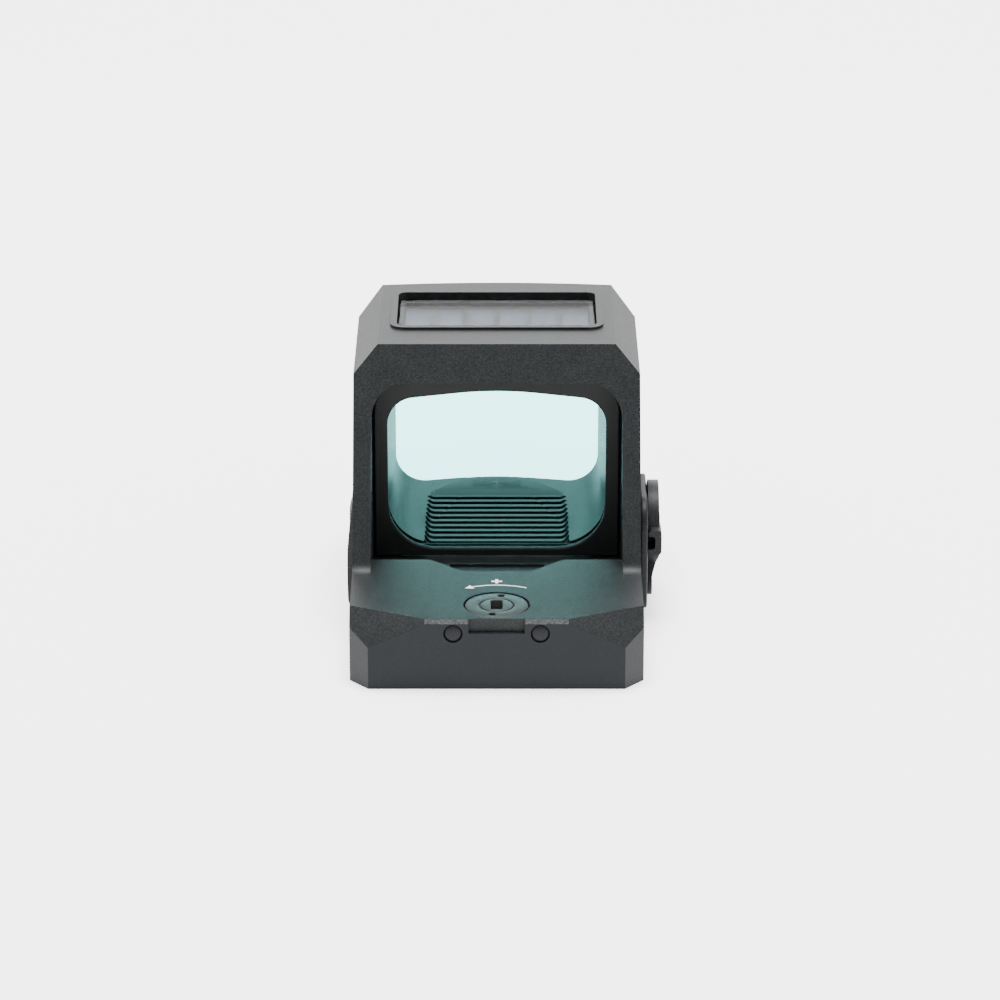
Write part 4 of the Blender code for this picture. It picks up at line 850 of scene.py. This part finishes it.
# ---- Deck marks and rear face ----------------------------------------------
def strip(name, points, width, z, thick=0.012 * MM):
    """A flat painted line along points, on a level face."""
    work = bmesh.new()
    sections = []
    for index, (x, y) in enumerate(points):
        before = Vector(points[max(index - 1, 0)])
        after = Vector(points[min(index + 1, len(points) - 1)])
        along = (after - before).normalized()
        side = Vector((-along.y, along.x)) * (width[index] / 2)
        here = Vector((x, y))
        sections.append([work.verts.new((*(here + side * hand), z + rise))
                         for hand, rise in ((-1, 0), (1, 0), (1, thick), (-1, thick))])
    for first, second in zip(sections, sections[1:]):
        for k in range(4):
            after = (k + 1) % 4
            work.faces.new((first[k], first[after], second[after], second[k]))
    work.faces.new(sections[0])
    work.faces.new(sections[-1])
    return finished(name, work)


def make_deck_marks():
    """White turning arrow round the elevation screw, with a plus sign over it."""
    z = DECK_Z + 0.002 * MM
    centre = Vector((0, ELEVATION_Y - 1.2 * MM))
    radius = ARROW_RADIUS
    first, last = ARROW_ANGLES
    steps = 24
    arc = []
    for step in range(steps + 1):
        angle = first + (last - first) * step / steps
        arc.append(tuple(centre + radius * Vector((cos(angle), sin(angle)))))
    line = strip("turning_arrow", arc, [ARROW_WIDE] * len(arc), z)
    head_angle, head_base, head_tip = ARROW_HEAD
    tip_angle = last + head_angle
    tip = centre + radius * Vector((cos(tip_angle), sin(tip_angle)))
    head = strip("arrow_head", [arc[-1], tuple(tip)], [head_base, head_tip], z)
    mark = (0, ELEVATION_Y + 6.35 * MM)
    bar = PLUS_REACH
    across = strip("plus_across", [(mark[0] - bar, mark[1]), (mark[0] + bar, mark[1])], [PLUS_WIDE] * 2, z)
    up = strip("plus_up", [(mark[0], mark[1] - bar), (mark[0], mark[1] + bar)], [PLUS_WIDE] * 2,
               z + 0.001 * MM)
    for piece in (line, head, across, up):
        finish_piece(piece, "root", "panel_board", LOOKS["paint"])


def make_sight_bars():
    """Bare metal bands on the rear chamfer, either side of the aiming notch."""
    lift = 0.015 * MM
    inner, outer = AIM_NOTCH_X + 0.05 * MM, FACET_REAR[0] - 0.05 * MM
    margin = 0.03 * MM
    low = (REAR_Y + margin, DECK_Z - REAR_CHAMFER + margin)
    high = (REAR_Y + REAR_CHAMFER - margin, DECK_Z - margin)
    for hand, label in ((-1, "left"), (1, "right")):
        band = [(low[0] - lift, low[1] + lift), (high[0] - lift, high[1] + lift),
                (high[0] + lift, high[1] - lift), (low[0] + lift, low[1] - lift)]
        ends = sorted((hand * inner, hand * outer))
        bar = prism("sight_bar_" + label, "X", band, *ends)
        finish_piece(bar, "root", "cell_metal", LOOKS["bare"])


def make_rear_dots():
    """Round inserts with a domed face."""
    z = (DOT_LOW[2] + DOT_HIGH[2]) / 2
    x = (DOT_LOW[0] + DOT_HIGH[0]) / 2
    radius = (DOT_HIGH[0] - DOT_LOW[0]) / 2
    for hand, label in ((-1, "left"), (1, "right")):
        profile = [(0, DOT_HIGH[1]), (radius, DOT_HIGH[1])]
        for step in range(7):
            angle = pi / 2 * step / 6
            profile.append((radius * cos(angle), DOT_LOW[1] + 0.3 * MM * (1 - sin(angle))))
        profile[-1] = (0, DOT_LOW[1])
        dot = lathe("aiming_dot_" + label, "Y", (hand * x, z), profile, 64)
        dot.data.shade_smooth()
        finish_piece(dot, "root", "steel", LOOKS["blued"], "rear_dot_" + label)


# ---- Solar panel -----------------------------------------------------------
def make_solar_panel():
    low, high = WINDOW_LOW, WINDOW_HIGH
    outline = rectangle(low[0], high[0], low[1], high[1], PANEL_RADIUS - 0.2 * MM)
    cover = prism("panel_cover", "Z", outline, low[2], high[2])
    soften(cover, 0.05 * MM, 2)
    finish_piece(cover, "root", "panel_glass", LOOKS["glass"], "solar_window")


# ---- Right side ------------------------------------------------------------
def make_door():
    low, high = DOOR_LOW, DOOR_HIGH
    door = prism("door_plate", "X", side_outline(low, high), low[0], high[0])
    combine(door, cylinder("door_hole_tool", "X", middle_of(PIN_LOW, PIN_HIGH), PIN_HOLE_RADIUS,
                           low[0] - MM, high[0] + MM))
    applied(door)
    soften(door, 0.2 * MM, 4)
    finish_piece(door, "drawer", "anodised", LOOKS["anodised"], "drawer_door")


def make_lever():
    """Round hub with a ramp down to a thin tail, and a lug with a finger slot behind it."""
    centre = Vector(middle_of(PIN_LOW, PIN_HIGH))
    inner, rim = LEVER_LOW[0], LEVER_HIGH[0]
    lever = prism("latch_handle", "X", circle(centre, LEVER_HUB, 128), inner, rim)
    end = Vector(TAIL_END)
    combine(lever, prism("tail_tip_tool", "X", circle(end, TAIL_RADIUS, 64), inner, rim), "UNION")
    along = centre - end
    across = Vector((-along.y, along.x)).normalized() * TAIL_RADIUS * 0.99
    far = end + along * 0.7
    web = [tuple(end + across), tuple(end - across), tuple(far - across), tuple(far + across)]
    combine(lever, prism("tail_web_tool", "X", web, inner, rim), "UNION")
    rise_low, rise_high = LEVER_RISE
    roof = centre.y + 2 * LEVER_HUB
    side = rounded([(inner - MM, 0, 0), (LEVER_TAIL_X, 0, 0), (LEVER_TAIL_X, LEVER_TAIL_TOP, 1.5 * MM),
                    (rim, LEVER_RAMP_TOP, 1.2 * MM), (rim, rise_low, 0.5 * MM),
                    (LEVER_FACE, rise_high, 0.5 * MM), (LEVER_FACE, roof, 0), (inner - MM, roof, 0)], 8)
    combine(lever, prism("lever_side_tool", "Y", side, -2 * LEVER_HUB, 2 * LEVER_HUB), "INTERSECT")
    near, far_y, low, high = LUG
    lug = rectangle(inner + 0.02 * MM, rim - 0.05 * MM, low, high, 0.4 * MM)
    combine(lever, prism("lever_lug_tool", "Y", lug, near, far_y), "UNION")
    outer, slot_far, slot_low, slot_high = FINGER_SLOT
    slot = rectangle(inner - MM, outer, slot_low, slot_high, 0.35 * MM)
    combine(lever, prism("finger_slot_tool", "Y", slot, near - MM, slot_far))
    combine(lever, cylinder("lever_bore_tool", "X", centre, PIN_HOLE_RADIUS, inner - MM, rim + MM))
    applied(lever)
    soften(lever, 0.12 * MM, 3)
    pin_profile = soft_profile((PIN_HIGH[1] - PIN_LOW[1]) / 2, PIN_LOW[0], PIN_HIGH[0], 0.2 * MM)
    pin = lathe("latch_stem", "X", centre, pin_profile, 64)
    soften(pin, 0.05 * MM, 2)
    finish_piece(lever, "latch", "anodised", LOOKS["anodised"], "latch_lever")
    finish_piece(pin, "latch", "steel", LOOKS["steel"], "latch_pin")


# ---- Left side -------------------------------------------------------------
def curve_through(points, steps=6):
    """Smooth curve through points, ends included."""
    spots = [Vector(point) for point in points]
    spots = [spots[0]] + spots + [spots[-1]]
    curve = []
    for before, first, second, after in zip(spots, spots[1:], spots[2:], spots[3:]):
        for step in range(steps):
            t = step / steps
            curve.append(0.5 * (2 * first + (second - before) * t
                                + (2 * before - 5 * first + 4 * second - after) * t ** 2
                                + (3 * first - before - 3 * second + after) * t ** 3))
    return [tuple(point) for point in curve] + [tuple(spots[-1])]


def make_keypad():
    """Rubber pad with a crowned face and a hole round each button."""
    low, high = KEYPAD_LOW, KEYPAD_HIGH
    pad = prism("keypad_pad", "X", side_outline(low, high, 0, 16), low[0] - MM, high[0])
    crown = [(high[0] + MM, 0)]
    crown += curve_through([(-HALF_WIDTH - proud, height) for proud, height in KEYPAD_CROWN])
    crown.append((high[0] + MM, high[2] + MM))
    combine(pad, prism("keypad_crown_tool", "Y", crown, low[1] - MM, high[1] + MM), "INTERSECT")
    for label in ("plus", "minus"):
        place = middle_of(*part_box("button_" + label))
        combine(pad, cylinder("keypad_hole_" + label, "X", place, BUTTON_HOLE_RADIUS, low[0] - MM,
                              high[0] + MM, 96))
    applied(pad)
    soften(pad, 0.15 * MM, 3)
    finish_piece(pad, "root", "rubber", LOOKS["rubber"], "keypad_frame")


def make_buttons():
    """Low domes with an engraved plus or minus."""
    for label, rim in (("plus", 0.25 * MM), ("minus", 0.60 * MM)):
        low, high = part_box("button_" + label)
        place = middle_of(low, high)
        radius = (high[1] - low[1]) / 2
        top, shoulder = low[0], -HALF_WIDTH - rim
        rise = shoulder + 0.1 * MM - top
        dome_steps = 14
        profile = [(0, high[0]), (radius, high[0])]
        for step in range(dome_steps + 1):
            share = step / dome_steps
            profile.append((radius * (1 - share), top + rise * (1 - share) ** 3))
        button = lathe("keycap_" + label, "X", place, profile, 96)
        y, z = place
        long, thin, deep = 0.75 * MM, 0.16 * MM, 0.09 * MM
        bar = rectangle(y - long, y + long, z - thin, z + thin, thin * 0.9, 6)
        combine(button, prism("bar_tool_" + label, "X", bar, top - MM, top + deep))
        if label == "plus":
            bar = rectangle(y - thin, y + thin, z - long, z + long, thin * 0.9, 6)
            combine(button, prism("upright_tool_" + label, "X", bar, top - MM, top + deep))
        applied(button)
        soften(button, 0.05 * MM, 2)
        finish_piece(button, label + "_button", "rubber", LOOKS["rubber"], "button_" + label)


# ---- Underside -------------------------------------------------------------
def make_cover():
    """Flat cover with four counterbored screw holes."""
    low, high = COVER_LOW, COVER_HIGH
    outline = rectangle(low[0], high[0], low[1], high[1], MM)
    cover = prism("bottom_cover", "Z", outline, low[2], high[2])
    seat_radius, seat_deep = SCREW_SEAT
    for number in range(1, COVER_SCREWS + 1):
        place = cover_screw_place(number)
        combine(cover, cylinder(f"cover_seat_{number}", "Z", place, seat_radius, -MM, seat_deep, 40))
        combine(cover, cylinder(f"cover_hole_{number}", "Z", place, SCREW_HOLE_RADIUS, -MM, 3 * MM, 40))
    applied(cover)
    soften(cover, 0.07 * MM, 2)
    finish_piece(cover, "root", "anodised", LOOKS["anodised"], "base_cover")


# ---- Carried-over CAD nodes ------------------------------------------------
NODE_LOOKS = {
    "lens_gasket": "rubber", "solar_seal": "rubber", "elevation_oring": "rubber", "windage_oring": "rubber",
    "base_gasket": "rubber", "door_seal": "rubber", "solar_board": "board", "elevation_slider": "steel",
    "elevation_spring": "nickel", "windage_spring": "nickel", "emitter_holder": "brass",
    "led_emitter": "emitter", "emitter_window": "glass", "circuit_board": "circuit",
    "controller_chip": "plastic", "charger_chip": "plastic", "battery_drawer": "plastic",
    "battery_cell": "nickel", "contact_positive": "brass", "contact_negative": "brass",
    "switch_plus": "nickel", "switch_minus": "nickel", "cover_screw_1": "steel", "cover_screw_2": "steel",
    "cover_screw_3": "steel", "cover_screw_4": "steel",
}


def dress_cad_nodes():
    names = dict(NODE_LOOKS)
    names.update({f"solar_cell_{number}": "silicon" for number in range(1, 7)})
    for name, look in names.items():
        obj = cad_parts[name]
        obj.data.materials.clear()
        obj.data.materials.append(LOOKS[look])


# ---- Studio ----------------------------------------------------------------
def make_studio():
    """A pale floor that glows a little, an even sky and two softboxes."""
    mesh = bpy.data.meshes.new("studio_floor")
    work = bmesh.new()
    bmesh.ops.create_grid(work, x_segments=1, y_segments=1, size=FLOOR_HALF)
    work.to_mesh(mesh)
    work.free()
    floor = bpy.data.objects.new("studio_floor", mesh)
    bpy.context.scene.collection.objects.link(floor)
    made, _, _, shader = new_look("studio_floor")
    shader.inputs["Base Color"].default_value = (0.9, 0.9, 0.9, 1)
    shader.inputs["Roughness"].default_value = 0.9
    shader.inputs["Emission Color"].default_value = (1, 1, 1, 1)
    shader.inputs["Emission Strength"].default_value = FLOOR_GLOW
    mesh.materials.append(made)

    world = bpy.data.worlds.new("studio")
    world.use_nodes = True
    background = world.node_tree.nodes["Background"]
    background.inputs["Color"].default_value = (1, 1, 1, 1)
    background.inputs["Strength"].default_value = SKY_STRENGTH
    bpy.context.scene.world = world

    for name, place, target, size, watts in SOFTBOXES:
        light = bpy.data.lights.new(name, "AREA")
        light.shape = "SQUARE"
        light.size = size
        light.energy = watts
        lamp = bpy.data.objects.new(name, light)
        lamp.location = place
        lamp.rotation_euler = (Vector(target) - Vector(place)).to_track_quat("-Z", "Y").to_euler()
        bpy.context.scene.collection.objects.link(lamp)


def make_camera():
    data = bpy.data.cameras.new("camera")
    data.lens = CAMERA_LENS
    data.sensor_width = 36
    data.clip_start = 0.01
    camera = bpy.data.objects.new("camera", data)
    camera.location = CAMERA_PLACE
    camera.rotation_euler = (pi / 2 - CAMERA_DOWN, 0, 0)
    bpy.context.scene.collection.objects.link(camera)
    bpy.context.scene.camera = camera


make_camera()
make_looks()
make_housing()
make_retainer()
make_lens()
make_elevation_screw()
make_windage_screw()
make_deck_marks()
make_sight_bars()
make_rear_dots()
make_solar_panel()
make_door()
make_lever()
make_keypad()
make_buttons()
make_cover()
dress_cad_nodes()
make_studio()
